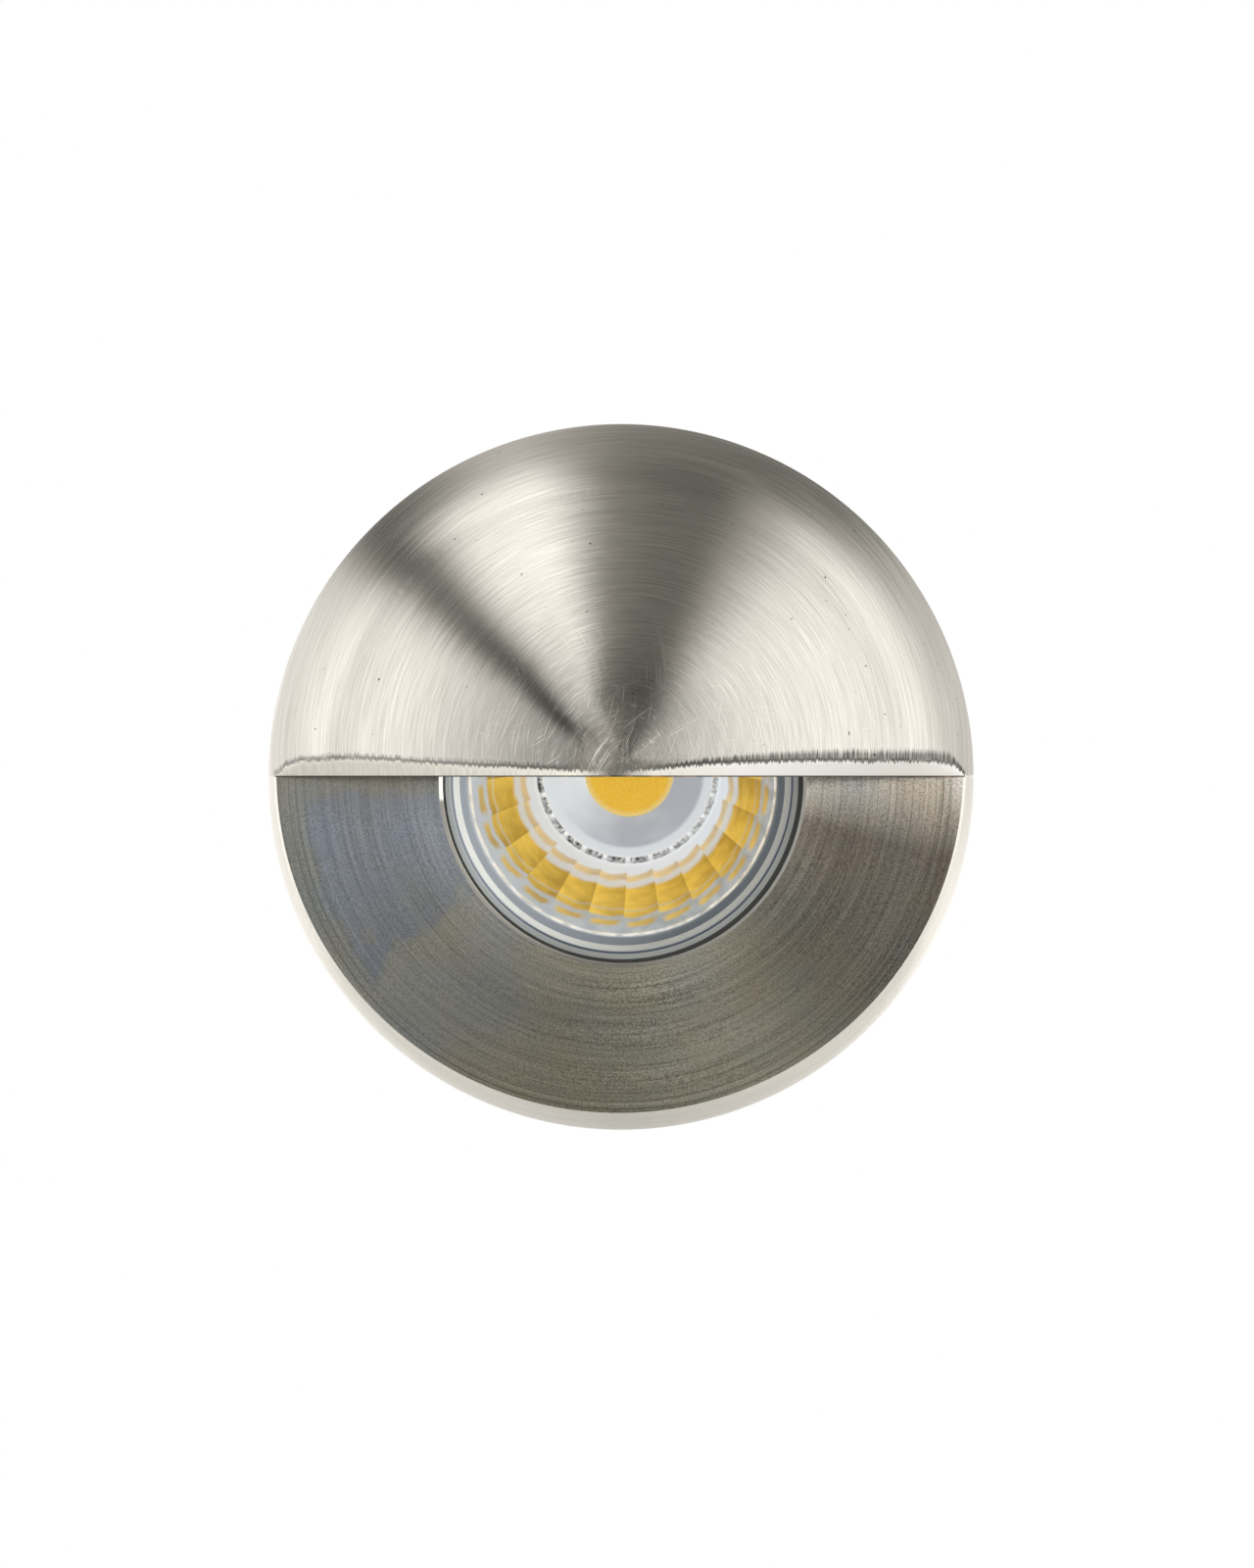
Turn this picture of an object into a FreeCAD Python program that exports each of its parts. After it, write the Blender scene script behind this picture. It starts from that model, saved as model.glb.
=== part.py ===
import FreeCAD, Part
import math
import os

from FreeCAD import Vector

# Round recessed eyelid step light. Millimetres. The origin is on the light's axis in
# the wall plane; the face looks along -Y, +Y runs into the wall and +Z is up.

# ---------------------------------------------------------------- driving sizes
# Face: a turned stainless disc with a hood over its upper half
rim_width = 5.5             # from the recess in the back to the outside of the face
face_rise = 0.75            # the face's outline sits this far above the lamp's axis
hood_depth = 21.0           # from the wall to the tip of the hood
hood_slope = 14.4           # degrees, cone of the hood against the wall plane
shoulder_width = 9.5        # rounded shoulder, from the cone to the outside
hood_wall = 2.6             # from the hood's tip to its hollow
hollow_tip_radius = 2.4     # flat end of the hollow, inside the hood's tip
floor_depth = 4.4           # from the wall to the floor, at the cut
floor_tilt = 2.4            # degrees, the floor comes forward towards the bottom
flank_lean = 54.0           # degrees, lean of the two flats on the hood's lower edge
bore_overlap = 0.75         # the opening's edge hides this much of the lamp's rim
lip_thickness = 2.0         # floor left in front of the glass, at the axis
back_recess_margin = 2.0    # hollow in the face's back, past the sleeve's flange
back_recess_depth = 2.0
skirt_wall = 3.0            # wall of the face's threaded skirt
skirt_end = 14.0            # end of the skirt, behind the wall plane
skirt_root_depth = 0.5      # the skirt is drawn this far into the face

# Glass and its gaskets
glass_inset = 2.0           # the glass is this much smaller than the thread
glass_thickness = 3.5
glass_bevel = 0.4
gasket_thickness = 1.0
gasket_width = 2.4
seal_thickness = 1.0        # flat ring behind the skirt
wall_gasket_width = 2.2
wall_gasket_thickness = 1.2
wall_gasket_inset = 1.9     # from the face's edge to the gasket

# Body
front_wall = 3.4            # body's wall in its front thread, which is drawn plain
body_step_height = 0.6      # the body stands out past the skirt
lamp_clearance = 0.6        # round the lamp's rim, in the body's front counterbore
ledge_width = 1.0           # the lamp's rim rests on this ledge
rear_wall = 4.6             # body's wall round the rear bore
cooling_groove_count = 4
cooling_groove_width = 3.0
cooling_groove_depth = 4.0
cooling_groove_pitch = 5.5
ring_section = 2.5          # section of the two rings that grip the sleeve
front_ring_inset = 5.0      # from the body's front shoulder to the first ring
rear_ring_inset = 12.0      # from the body's rear end to the second ring

# Sleeve
sleeve_clearance = 0.9      # round the body, in the sleeve
sleeve_wall = 2.5
sleeve_length = 105.0
flange_width = 4.0
flange_thickness = 1.5
cable_notch_width = 10.0    # notch in the sleeve's rear edge, for the cable
cable_notch_depth = 12.0

# Lamp, 50 mm across
lamp_radius = 25.0
lamp_rim_height = 3.0
lamp_rim_width = 2.1
lamp_lip_width = 0.9        # the rim's front edge reaches in over the optic
lamp_lip_round = 0.3
lamp_ring_overlap = 1.7     # the ring reaches in over the lamp's rim
lamp_ring_thickness = 1.2
lamp_ring_setback = 0.6     # behind the body's front edge
optic_facets = 24
optic_flange_width = 2.1    # plain edge round the facets
optic_band_width = 8.2      # band of facets, from its front edge to its back edge
optic_depth = 9.0
optic_wall = 1.0
optic_flange = 1.2
optic_setback = 0.8         # behind the front of the lamp's rim
cup_depth = 4.4
chip_radius = 6.1
chip_thickness = 0.6
board_thickness = 1.6
housing_floor = 2.0
fin_count = 24
fin_thickness = 1.1
fin_clearance = 0.8         # round the fins, in the body
fin_taper_width = 8.2
fin_overlap = 1.1           # the fins run this far over the foot
housing_wall = 1.6
base_radius = 11.5
base_end_radius = 8.6
lamp_length = 39.0          # from the lamp's front to the end of its foot
base_length = 13.0
driver_width = 13.0
driver_length = 12.0
driver_thickness = 1.4
driver_slot_length = 3.0    # for the pins' tails
part_setback = 7.4          # from the foot's floor to the parts on the driver board
part_spacing = 3.8
coil_width = 3.0
coil_height = 4.0
bridge_width = 2.2
bridge_height = 2.6
capacitor_width = 3.6
capacitor_height = 3.2
pin_radius = 0.78
pin_spacing = 5.3
pin_length = 7.0
pin_tail_length = 1.0       # inside the foot

# Holder, plate, terminals
holder_width = 20.0
holder_height = 10.0
holder_length = 10.0
holder_corner_radius = 2.0
contact_width = 3.4
contact_height = 5.0
contact_length = 4.4
lead_radius = 1.1
lead_spacing = 8.0
lead_drop = 1.6             # the leads run this far below the lamp's axis
lead_insertion = 4.0        # inside the terminal block
plate_thickness = 1.2
plate_notch_radius = 5.0    # air notches in the plate's edge
tab_width = 9.0
block_width = 17.0
block_height = 9.0
block_length = 10.0
block_gap = 2.0             # from the plate to the block, past the screw heads
block_waist_radius = 1.4    # half-round notches in the block's ends
barrel_radius = 2.1
barrel_wall = 0.6
barrel_setback = 0.5        # the barrels end inside the block
clamp_screw_radius = 1.25
clamp_screw_pitch = 5.4
clamp_screw_setback = 0.4   # their heads lie below the block's top

# Screws
small_screw_radius = 1.25
small_head_radius = 2.25
small_head_height = 1.6
small_screw_length = 7.0
cap_screw_count = 4
holder_screw_spacing = 15.6
slot_width = 0.5
slot_depth = 0.7

# Rear cap and cable gland
cap_thickness = 4.0
spigot_length = 3.4
cap_ring_section = 1.8
gland_thread_radius = 6.0
gland_flats = 16.0          # across the flats of the gland's hexagon
gland_hex_height = 5.0
gland_washer_thickness = 1.0
lock_nut_flats = 17.0
lock_nut_height = 3.4
gland_stub_end = 1.0        # thread past the lock nut
terminal_gap = 1.1          # from the terminal block to the gland's thread
gland_bore_radius = 4.4
gland_barrel_radius = 6.6
gland_barrel_length = 7.0
gland_nut_length = 11.0
gland_nut_wall = 1.2
seal_bore_radius = 3.3      # grips a 6.5 mm cable
seal_radius = 5.2
seal_length = 9.0
nut_mouth_radius = 3.8
nose_length = 3.7           # rounded nose of the gland's nut
nose_shoulder_length = 2.0
nose_shoulder_drop = 1.3

# ---------------------------------------------------------------- clearances
thread_clearance = 0.1      # running fit of the plain threads, on the radius
ring_clearance = 0.05       # rings against the sleeve's bore
seat_clearance = 0.1        # pieces that drop into a seat
glass_clearance = 0.3       # glass in the skirt
hole_clearance = 0.1        # screws and pins in their holes
head_clearance = 0.3        # screw heads beside other screws
past = 1.0                  # cutting shapes run this far past what they cut

# ---------------------------------------------------------------- radii, from the lamp out
lamp_bore_radius = lamp_radius + lamp_clearance
core_bore_radius = lamp_radius - ledge_width
bore_radius = lamp_radius - bore_overlap
lamp_rim_inner_radius = lamp_radius - lamp_rim_width
lamp_lip_radius = lamp_rim_inner_radius - lamp_lip_width
lamp_ring_inner_radius = lamp_radius - lamp_ring_overlap
optic_front_radius = lamp_rim_inner_radius - optic_flange_width
optic_back_radius = optic_front_radius - optic_band_width
fin_front_radius = core_bore_radius - fin_clearance
fin_back_radius = fin_front_radius - fin_taper_width
thread_radius = lamp_bore_radius + front_wall
glass_radius = thread_radius - glass_inset
skirt_radius = thread_radius + skirt_wall
body_radius = skirt_radius + body_step_height
rear_bore_radius = body_radius - rear_wall
bracket_screw_circle = (core_bore_radius + rear_bore_radius) / 2
cap_screw_circle = (rear_bore_radius + body_radius) / 2
sleeve_bore_radius = body_radius + sleeve_clearance
flange_radius = sleeve_bore_radius + sleeve_wall + flange_width
back_recess_radius = flange_radius + back_recess_margin
face_radius = back_recess_radius + rim_width
shoulder_radius = face_radius - shoulder_width

# ---------------------------------------------------------------- places along Y
lip_back = -floor_depth + lip_thickness
glass_front = lip_back + gasket_thickness
glass_back = glass_front + glass_thickness
body_front = glass_back + gasket_thickness
body_shoulder = skirt_end + seal_thickness
lamp_ring_front = body_front + lamp_ring_setback
lamp_front = lamp_ring_front + lamp_ring_thickness
lamp_ledge = lamp_front + lamp_rim_height
optic_front = lamp_front + optic_setback
optic_back = optic_front + optic_flange + optic_depth
chip_front = optic_back + cup_depth
board_front = chip_front + chip_thickness
board_back = board_front + board_thickness
lamp_foot = lamp_front + lamp_length
base_front = lamp_foot - base_length
fin_front = lamp_ledge + seat_clearance
fin_back = base_front + fin_overlap
holder_front = lamp_foot
holder_back = holder_front + holder_length
plate_back = holder_back + plate_thickness
block_front = plate_back + block_gap
block_back = block_front + block_length
block_middle = (block_front + block_back) / 2
block_bottom = -lead_drop - block_height / 2
stub_front = block_back + terminal_gap
spigot_front = stub_front + gland_stub_end + lock_nut_height
body_end = spigot_front + spigot_length
cap_back = body_end + cap_thickness
gland_hex_front = cap_back + gland_washer_thickness
gland_hex_back = gland_hex_front + gland_hex_height
gland_end = gland_hex_back + gland_nut_length
seal_front = gland_hex_back - gland_hex_height / 2
seal_back = seal_front + seal_length
front_ring_y = body_shoulder + front_ring_inset
rear_ring_y = body_end - rear_ring_inset

ring_groove_radius = sleeve_bore_radius - ring_clearance - ring_section
cap_groove_radius = rear_bore_radius - ring_clearance - cap_ring_section
board_seat_radius = optic_back_radius + optic_wall + 2 * seat_clearance
contact_front = holder_back - contact_length - hole_clearance
contact_shift = (pin_spacing + lead_spacing) / 4

Y = Vector(0, 1, 0)


# ---------------------------------------------------------------- shape helpers
def rod(radius, y0, y1, x=0.0, z=0.0):
    """A round bar along Y."""
    return Part.makeCylinder(radius, y1 - y0, Vector(x, y0, z), Y)


def ring(outer, inner, y0, y1):
    """A plain ring along Y."""
    return rod(outer, y0, y1).cut(rod(inner, y0 - past, y1 + past))


def block(x0, x1, y0, y1, z0, z1):
    return Part.makeBox(x1 - x0, y1 - y0, z1 - z0, Vector(x0, y0, z0))


def turned(points):
    """A turned solid about the Y axis from (radius, y) points."""
    loop = [Vector(r, y, 0) for r, y in points]
    face = Part.Face(Part.makePolygon(loop + loop[:1]))
    return face.revolve(Vector(0, 0, 0), Y, 360)


def lip_ring(inner, section, y):
    """A lathe-cut rubber ring of square section, its outer corners cut back."""
    half, outer = section / 2, inner + section
    corner = section / 3
    return turned([(inner, y - half), (outer - corner, y - half), (outer, y - half + corner),
                   (outer, y + half - corner), (outer - corner, y + half), (inner, y + half)])


def hexagon(flats, y0, y1):
    corner = flats / 2 / math.cos(math.radians(30))
    points = around(6, corner, y0)
    return Part.Face(Part.makePolygon(points + points[:1])).extrude(Vector(0, y1 - y0, 0))


def around(count, radius, y, start=0.0):
    """Evenly spaced points round the Y axis."""
    turns = [start + 2 * math.pi * i / count for i in range(count)]
    return [Vector(radius * math.cos(t), y, radius * math.sin(t)) for t in turns]


def polygon_prism(count, radius0, y0, radius1, y1):
    """A tapered prism with flat sides."""
    rims = []
    for radius, y in ((radius0, y0), (radius1, y1)):
        points = around(count, radius, y)
        rims.append(Part.makePolygon(points + points[:1]))
    return Part.makeLoft(rims, True, True)


def screw(x, z, head_back, length, radius, head_radius, head_height):
    """A slotted cheese-head screw that goes in along -Y, its head at the back."""
    seat = head_back - head_height
    body = rod(radius, seat - length, seat, x, z).fuse(rod(head_radius, seat, head_back, x, z))
    slot = block(x - head_radius, x + head_radius, head_back - slot_depth, head_back + past,
                 z - slot_width / 2, z + slot_width / 2)
    return body.cut(slot)


def group(shapes):
    return Part.makeCompound(shapes)


def save(name, shape):
    shape.exportStep(os.path.join("parts", name + ".step"))
    solids = shape.Solids
    volume = sum(s.Volume for s in solids)
    state = "ok" if shape.isValid() and all(s.isClosed() for s in solids) else "BAD"
    print(f"{name:18s} {state} solids {len(solids):2d} volume {volume:10.1f}")


# ---------------------------------------------------------------- eyelid face
shoulder_y = -hood_depth + shoulder_radius * math.tan(math.radians(hood_slope))
shoulder_bend = (face_radius - shoulder_radius) / (1 - math.sin(math.radians(hood_slope)))
bend_r = shoulder_radius - shoulder_bend * math.sin(math.radians(hood_slope))
bend_y = shoulder_y + shoulder_bend * math.cos(math.radians(hood_slope))


def dome_radius(y):
    """Radius of the rounded shoulder at a depth y."""
    return bend_r + math.sqrt(shoulder_bend ** 2 - (y - bend_y) ** 2)


corner_radius = dome_radius(-floor_depth)
edge_slope = (hood_depth - floor_depth) / corner_radius


def dome():
    """The whole turned dome, before the lower half is cut back."""
    tip = Vector(0, -hood_depth, 0)
    turn = Vector(shoulder_radius, shoulder_y, 0)
    rim = Vector(dome_radius(0), 0, 0)
    half = shoulder_y / 2
    middle = Vector(dome_radius(half), half, 0)
    edges = [
        Part.LineSegment(tip, turn).toShape(),
        Part.Arc(turn, middle, rim).toShape(),
        Part.LineSegment(rim, Vector(0, 0, 0)).toShape(),
        Part.LineSegment(Vector(0, 0, 0), tip).toShape(),
    ]
    solid = Part.Face(Part.Wire(edges)).revolve(Vector(0, 0, 0), Y, 360)
    solid.translate(Vector(0, 0, face_rise))
    return solid


def lower_half():
    """All that is cut away in front of the floor, below the hood."""
    reach = face_radius + past
    front = -hood_depth - past
    forward = reach * math.tan(math.radians(floor_tilt))
    side = [
        Vector(-reach, -floor_depth, face_rise),
        Vector(-reach, front, face_rise),
        Vector(-reach, front, face_rise - reach),
        Vector(-reach, -floor_depth - forward, face_rise - reach),
    ]
    return Part.Face(Part.makePolygon(side + side[:1])).extrude(Vector(2 * reach, 0, 0))


def above_cut():
    reach = face_radius + past
    return block(-reach, reach, -2 * hood_depth, 0, face_rise, face_rise + reach)


def hood_hollow():
    """The tapered hollow inside the hood, open at its lower side."""
    tip_y = -hood_depth + hood_wall
    foot = (-floor_depth - tip_y) / edge_slope
    flat_y = tip_y + hollow_tip_radius * edge_slope
    cone = turned([(0, flat_y), (hollow_tip_radius, flat_y), (foot, -floor_depth),
                   (0, -floor_depth)])
    cone.translate(Vector(0, 0, face_rise))
    return cone.common(above_cut())


def edge_flat(side):
    """What the flat on one side of the hood's lower edge takes off the dome."""
    lean = math.radians(flank_lean)
    up = Vector(0, -math.sin(lean), math.cos(lean))
    tip = Vector(0, -hood_depth, face_rise)
    corner = Vector(side * corner_radius, -floor_depth, face_rise)
    along = corner - tip
    along = along * (1 + past / corner_radius)
    rise = hood_depth
    points = [tip - up, tip + along - up, tip + along + up * rise, tip + up * rise]
    outward = along.cross(up)
    outward.normalize()
    if outward.y > 0:
        outward = outward * -1
    face = Part.Face(Part.makePolygon(points + points[:1]))
    return face.extrude(outward * hood_depth).common(above_cut())


def eyelid_face():
    body = dome().cut(lower_half()).cut(hood_hollow())
    for side in (-1, 1):
        body = body.cut(edge_flat(side))
    body = body.cut(rod(back_recess_radius, -back_recess_depth, past))
    body = body.fuse(rod(skirt_radius, -back_recess_depth - skirt_root_depth, skirt_end))
    seat_radius = glass_radius + glass_clearance
    thread_start = body_front - gasket_thickness / 2
    bore_front = -floor_depth - bore_radius * math.tan(math.radians(floor_tilt)) - past
    body = body.cut(rod(bore_radius, bore_front, lip_back + past))
    body = body.cut(rod(seat_radius, lip_back, thread_start + past))
    body = body.cut(rod(thread_radius + thread_clearance, thread_start, skirt_end + past))
    outer = face_radius - wall_gasket_inset
    groove = ring(outer, outer - wall_gasket_width, -wall_gasket_thickness, past)
    groove.translate(Vector(0, 0, face_rise))
    return body.cut(groove).removeSplitter()


def wall_gasket():
    outer = face_radius - wall_gasket_inset
    seal = ring(outer, outer - wall_gasket_width, -wall_gasket_thickness, 0)
    seal.translate(Vector(0, 0, face_rise))
    return seal


# ---------------------------------------------------------------- glass and seals
def front_glass():
    flat = glass_radius - glass_bevel
    return turned([(0, glass_front), (flat, glass_front),
                   (glass_radius, glass_front + glass_bevel),
                   (glass_radius, glass_back - glass_bevel), (flat, glass_back), (0, glass_back)])


def glass_gasket(y):
    return ring(glass_radius, glass_radius - gasket_width, y, y + gasket_thickness)


def thread_seal():
    return ring(skirt_radius, thread_radius + thread_clearance, skirt_end, body_shoulder)


# ---------------------------------------------------------------- body
def ring_groove(y):
    width = ring_section + 2 * seat_clearance
    return ring(body_radius + past, ring_groove_radius, y - width / 2, y + width / 2)


def body_tube():
    tube = rod(thread_radius, body_front, body_shoulder)
    tube = tube.fuse(rod(body_radius, body_shoulder, body_end))
    tube = tube.cut(rod(lamp_bore_radius, body_front - past, lamp_ledge))
    tube = tube.cut(rod(core_bore_radius, lamp_ledge - past, holder_back))
    tube = tube.cut(rod(rear_bore_radius, holder_back, body_end + past))
    tube = tube.cut(ring_groove(front_ring_y)).cut(ring_groove(rear_ring_y))
    middle = (front_ring_y + rear_ring_y) / 2
    for i in range(cooling_groove_count):
        y = middle + (i - (cooling_groove_count - 1) / 2) * cooling_groove_pitch
        half = cooling_groove_width / 2
        tube = tube.cut(ring(body_radius + past, body_radius - cooling_groove_depth,
                             y - half, y + half))
    hole = small_screw_radius + hole_clearance / 2
    for p in around(cap_screw_count, cap_screw_circle, 0, math.pi / 4):
        tube = tube.cut(rod(hole, body_end - small_screw_length, body_end + past, p.x, p.z))
    for side in (-1, 1):
        tube = tube.cut(rod(hole, holder_back - small_screw_length, holder_back + past,
                            side * bracket_screw_circle))
    return tube


def body_rings():
    return group([lip_ring(ring_groove_radius, ring_section, y)
                  for y in (front_ring_y, rear_ring_y)])


# ---------------------------------------------------------------- lamp
def lamp_ring():
    return ring(lamp_bore_radius - seat_clearance, lamp_ring_inner_radius,
                lamp_ring_front, lamp_front)


def lamp_bezel():
    """The lamp's rim, with a lip in front of the optic's flange."""
    return turned([(lamp_lip_radius + lamp_lip_round, lamp_front), (lamp_radius, lamp_front),
                   (lamp_radius, lamp_ledge), (lamp_rim_inner_radius, lamp_ledge),
                   (lamp_rim_inner_radius, optic_front), (lamp_lip_radius, optic_front),
                   (lamp_lip_radius, lamp_front + lamp_lip_round)])


def lamp_lens():
    cup_front = optic_front + optic_flange
    outside = polygon_prism(optic_facets, optic_front_radius + optic_wall, cup_front,
                            optic_back_radius + optic_wall, optic_back)
    flange = rod(lamp_rim_inner_radius - seat_clearance, optic_front, cup_front)
    inside = polygon_prism(optic_facets, optic_front_radius, cup_front,
                           optic_back_radius, optic_back)
    mouth = polygon_prism(optic_facets, optic_front_radius, optic_front - past,
                          optic_front_radius, cup_front)
    return outside.fuse(flange).cut(inside).cut(mouth).removeSplitter()


def led_cup():
    wall = optic_wall
    front = optic_back_radius
    back = chip_radius + seat_clearance
    return turned([(front - wall / 2, optic_back), (front + wall, optic_back),
                   (front + wall, chip_front + chip_thickness),
                   (back, chip_front + chip_thickness), (back, chip_front)])


def led_chip():
    return rod(chip_radius, chip_front, board_front)


def led_board():
    return rod(board_seat_radius - seat_clearance, board_front, board_back)


def housing_radius(y):
    """Outside of the housing's wall, which follows the optic and then its board."""
    cup_front = optic_front + optic_flange
    wide = optic_front_radius + optic_wall + seat_clearance + housing_wall
    narrow = board_seat_radius + housing_wall
    share = min(1.0, max(0.0, (y - cup_front) / optic_depth))
    return wide + (narrow - wide) * share


def lamp_housing():
    """A finned cup round the optic, with a floor under the LED board."""
    cup_front = optic_front + optic_flange + seat_clearance
    back = board_back + housing_floor
    inner_front = housing_radius(cup_front) - housing_wall
    inner_back = board_seat_radius
    wall = turned([
        (inner_front, cup_front), (lamp_rim_inner_radius - seat_clearance, cup_front),
        (lamp_rim_inner_radius - seat_clearance, lamp_ledge),
        (housing_radius(lamp_ledge), lamp_ledge),
        (housing_radius(optic_back), optic_back), (inner_back + housing_wall, back),
        (0, back), (0, board_back), (inner_back, board_back), (inner_back, optic_back)])
    side = [Vector(chip_radius, fin_front, 0), Vector(fin_front_radius, fin_front, 0),
            Vector(fin_back_radius, fin_back, 0), Vector(chip_radius, fin_back, 0)]
    blade = Part.Face(Part.makePolygon(side + side[:1])).extrude(Vector(0, 0, fin_thickness))
    blade.translate(Vector(0, 0, -fin_thickness / 2))
    fins = []
    for i in range(fin_count):
        fin = blade.copy()
        fin.rotate(Vector(0, 0, 0), Y, 360.0 * i / fin_count)
        fins.append(fin)
    room = turned([(0, cup_front - past), (inner_front, cup_front - past),
                   (inner_front, cup_front), (inner_back, optic_back), (inner_back, board_back),
                   (0, board_back)])
    foot = rod(base_radius, base_front, fin_back + past)
    core = rod(base_radius, board_back, base_front)
    hollow = rod(base_radius - housing_wall, back, base_front + past)
    solid = wall.fuse(fins).fuse(core).cut(room).cut(foot).cut(hollow)
    return solid.removeSplitter()


def lamp_base():
    """The plastic foot: a cup whose floor carries the two pins."""
    wall = housing_wall
    neck = base_radius - seat_clearance
    solid = turned([(neck, base_front), (neck, fin_back), (base_end_radius, lamp_foot),
                    (0, lamp_foot), (0, lamp_foot - 2 * wall),
                    (base_end_radius - wall, lamp_foot - 2 * wall),
                    (neck - wall, fin_back), (neck - wall, base_front)])
    for side in (-1, 1):
        solid = solid.cut(rod(pin_radius, base_front, lamp_foot + past, side * pin_spacing / 2))
    return solid


def driver_board():
    """A small board on edge, seated on the foot's floor and ahead of it in the housing."""
    back = lamp_foot - 2 * housing_wall
    half = driver_thickness / 2
    top = half - pin_radius
    solid = block(-driver_width / 2, driver_width / 2, back - driver_length, back,
                  -half - pin_radius, top)
    y = back - part_setback
    for i, width, height in ((-1, coil_width, coil_height), (0, bridge_width, bridge_height),
                             (1, capacitor_width, capacitor_height)):
        x = i * part_spacing
        solid = solid.fuse(block(x - width / 2, x + width / 2, y - width, y + width / 2,
                                 top, top + height))
    for side in (-1, 1):
        solid = solid.cut(rod(pin_radius + hole_clearance, back - driver_slot_length,
                              back + past, side * pin_spacing / 2))
    return solid


def lamp_pins():
    front = lamp_foot - 2 * housing_wall - pin_tail_length
    return group([rod(pin_radius, front, lamp_foot + pin_length, side * pin_spacing / 2)
                  for side in (-1, 1)])


# ---------------------------------------------------------------- holder and plate
def contact_pocket(side, room):
    half = contact_width / 2 + room
    low = -lead_drop - contact_height / 2 - room
    return block(side * contact_shift - half, side * contact_shift + half,
                 contact_front - room, holder_back + (past if room else 0),
                 low, low + contact_height + 2 * room)


def lamp_holder():
    """Ceramic block with two pin holes, two contact pockets and two screw holes."""
    half_w, half_h = holder_width / 2, holder_height / 2
    solid = block(-half_w, half_w, holder_front, holder_back, -half_h, half_h)
    long_edges = [e for e in solid.Edges if abs(e.tangentAt(0).y) > 0.9]
    solid = solid.makeFillet(holder_corner_radius, long_edges)
    for side in (-1, 1):
        solid = solid.cut(rod(pin_radius + hole_clearance, holder_front - past, holder_back,
                              side * pin_spacing / 2))
        solid = solid.cut(contact_pocket(side, hole_clearance))
        solid = solid.cut(rod(small_screw_radius + hole_clearance / 2,
                              holder_back - small_screw_length, holder_back + past,
                              side * holder_screw_spacing / 2))
    return solid


def holder_contacts():
    pieces = []
    for side in (-1, 1):
        clip = contact_pocket(side, 0)
        clip = clip.cut(rod(pin_radius, contact_front - past,
                            lamp_foot + pin_length + hole_clearance, side * pin_spacing / 2))
        pieces.append(clip)
    return group(pieces)


def holder_leads():
    """Two short straight leads, from the contacts into the terminal barrels."""
    end = block_front + lead_insertion
    return group([rod(lead_radius, holder_back, end, side * lead_spacing / 2, -lead_drop)
                  for side in (-1, 1)])


def holder_bracket():
    """Round plate on the body's inner step, with a bent tab under the terminals."""
    plate = rod(rear_bore_radius - seat_clearance, holder_back, plate_back)
    start, end = holder_back - past, plate_back + past
    hole = small_screw_radius + hole_clearance
    for side in (-1, 1):
        plate = plate.cut(rod(hole, start, end, side * bracket_screw_circle))
        plate = plate.cut(rod(hole, start, end, side * holder_screw_spacing / 2))
        plate = plate.cut(rod(lead_radius + hole_clearance, start, end,
                              side * lead_spacing / 2, -lead_drop))
        plate = plate.cut(rod(plate_notch_radius, start, end, 0, side * rear_bore_radius))
    tab = block(-tab_width / 2, tab_width / 2, holder_back, block_back,
                block_bottom - plate_thickness, block_bottom)
    tab = tab.cut(upright(small_screw_radius, block_bottom - plate_thickness - past,
                          block_bottom + past, 0, block_middle))
    return plate.fuse(tab)


def holder_screws():
    return group([screw(side * holder_screw_spacing / 2, 0, plate_back + small_head_height,
                        small_screw_length, small_screw_radius, small_head_radius,
                        small_head_height) for side in (-1, 1)])


def bracket_screws():
    edge = rear_bore_radius - seat_clearance - bracket_screw_circle
    head = min(small_head_radius, edge)
    return group([screw(side * bracket_screw_circle, 0, plate_back + small_head_height,
                        small_screw_length, small_screw_radius, head,
                        small_head_height) for side in (-1, 1)])


# ---------------------------------------------------------------- terminal block
def clamp_places():
    return [(side * lead_spacing / 2, block_middle + end * clamp_screw_pitch / 2)
            for side in (-1, 1) for end in (-1, 1)]


def upright(radius, z0, z1, x, y):
    return Part.makeCylinder(radius, z1 - z0, Vector(x, y, z0), Vector(0, 0, 1))


def terminal_block():
    half = block_width / 2
    top = block_bottom + block_height
    solid = block(-half, half, block_front, block_back, block_bottom, top)
    for end in (block_front, block_back):
        solid = solid.cut(upright(block_waist_radius, block_bottom - past, top + past, 0, end))
    for side in (-1, 1):
        solid = solid.cut(rod(barrel_radius, block_front - past, block_back + past,
                              side * lead_spacing / 2, -lead_drop))
    for x, y in clamp_places():
        solid = solid.cut(upright(clamp_screw_radius + 2 * hole_clearance, -lead_drop,
                                  top + past, x, y))
    hole = small_screw_radius + hole_clearance
    return solid.cut(upright(hole, block_bottom - past, top + past, 0, block_middle))


def terminal_barrels():
    pieces = []
    for side in (-1, 1):
        x = side * lead_spacing / 2
        barrel = rod(barrel_radius, block_front + barrel_setback, block_back - barrel_setback,
                     x, -lead_drop)
        barrel = barrel.cut(rod(barrel_radius - barrel_wall, block_front, block_back,
                                x, -lead_drop))
        for px, py in clamp_places():
            if px * side > 0:
                barrel = barrel.cut(upright(clamp_screw_radius, -lead_drop,
                                            block_bottom + block_height, px, py))
        pieces.append(barrel)
    return group(pieces)


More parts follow.
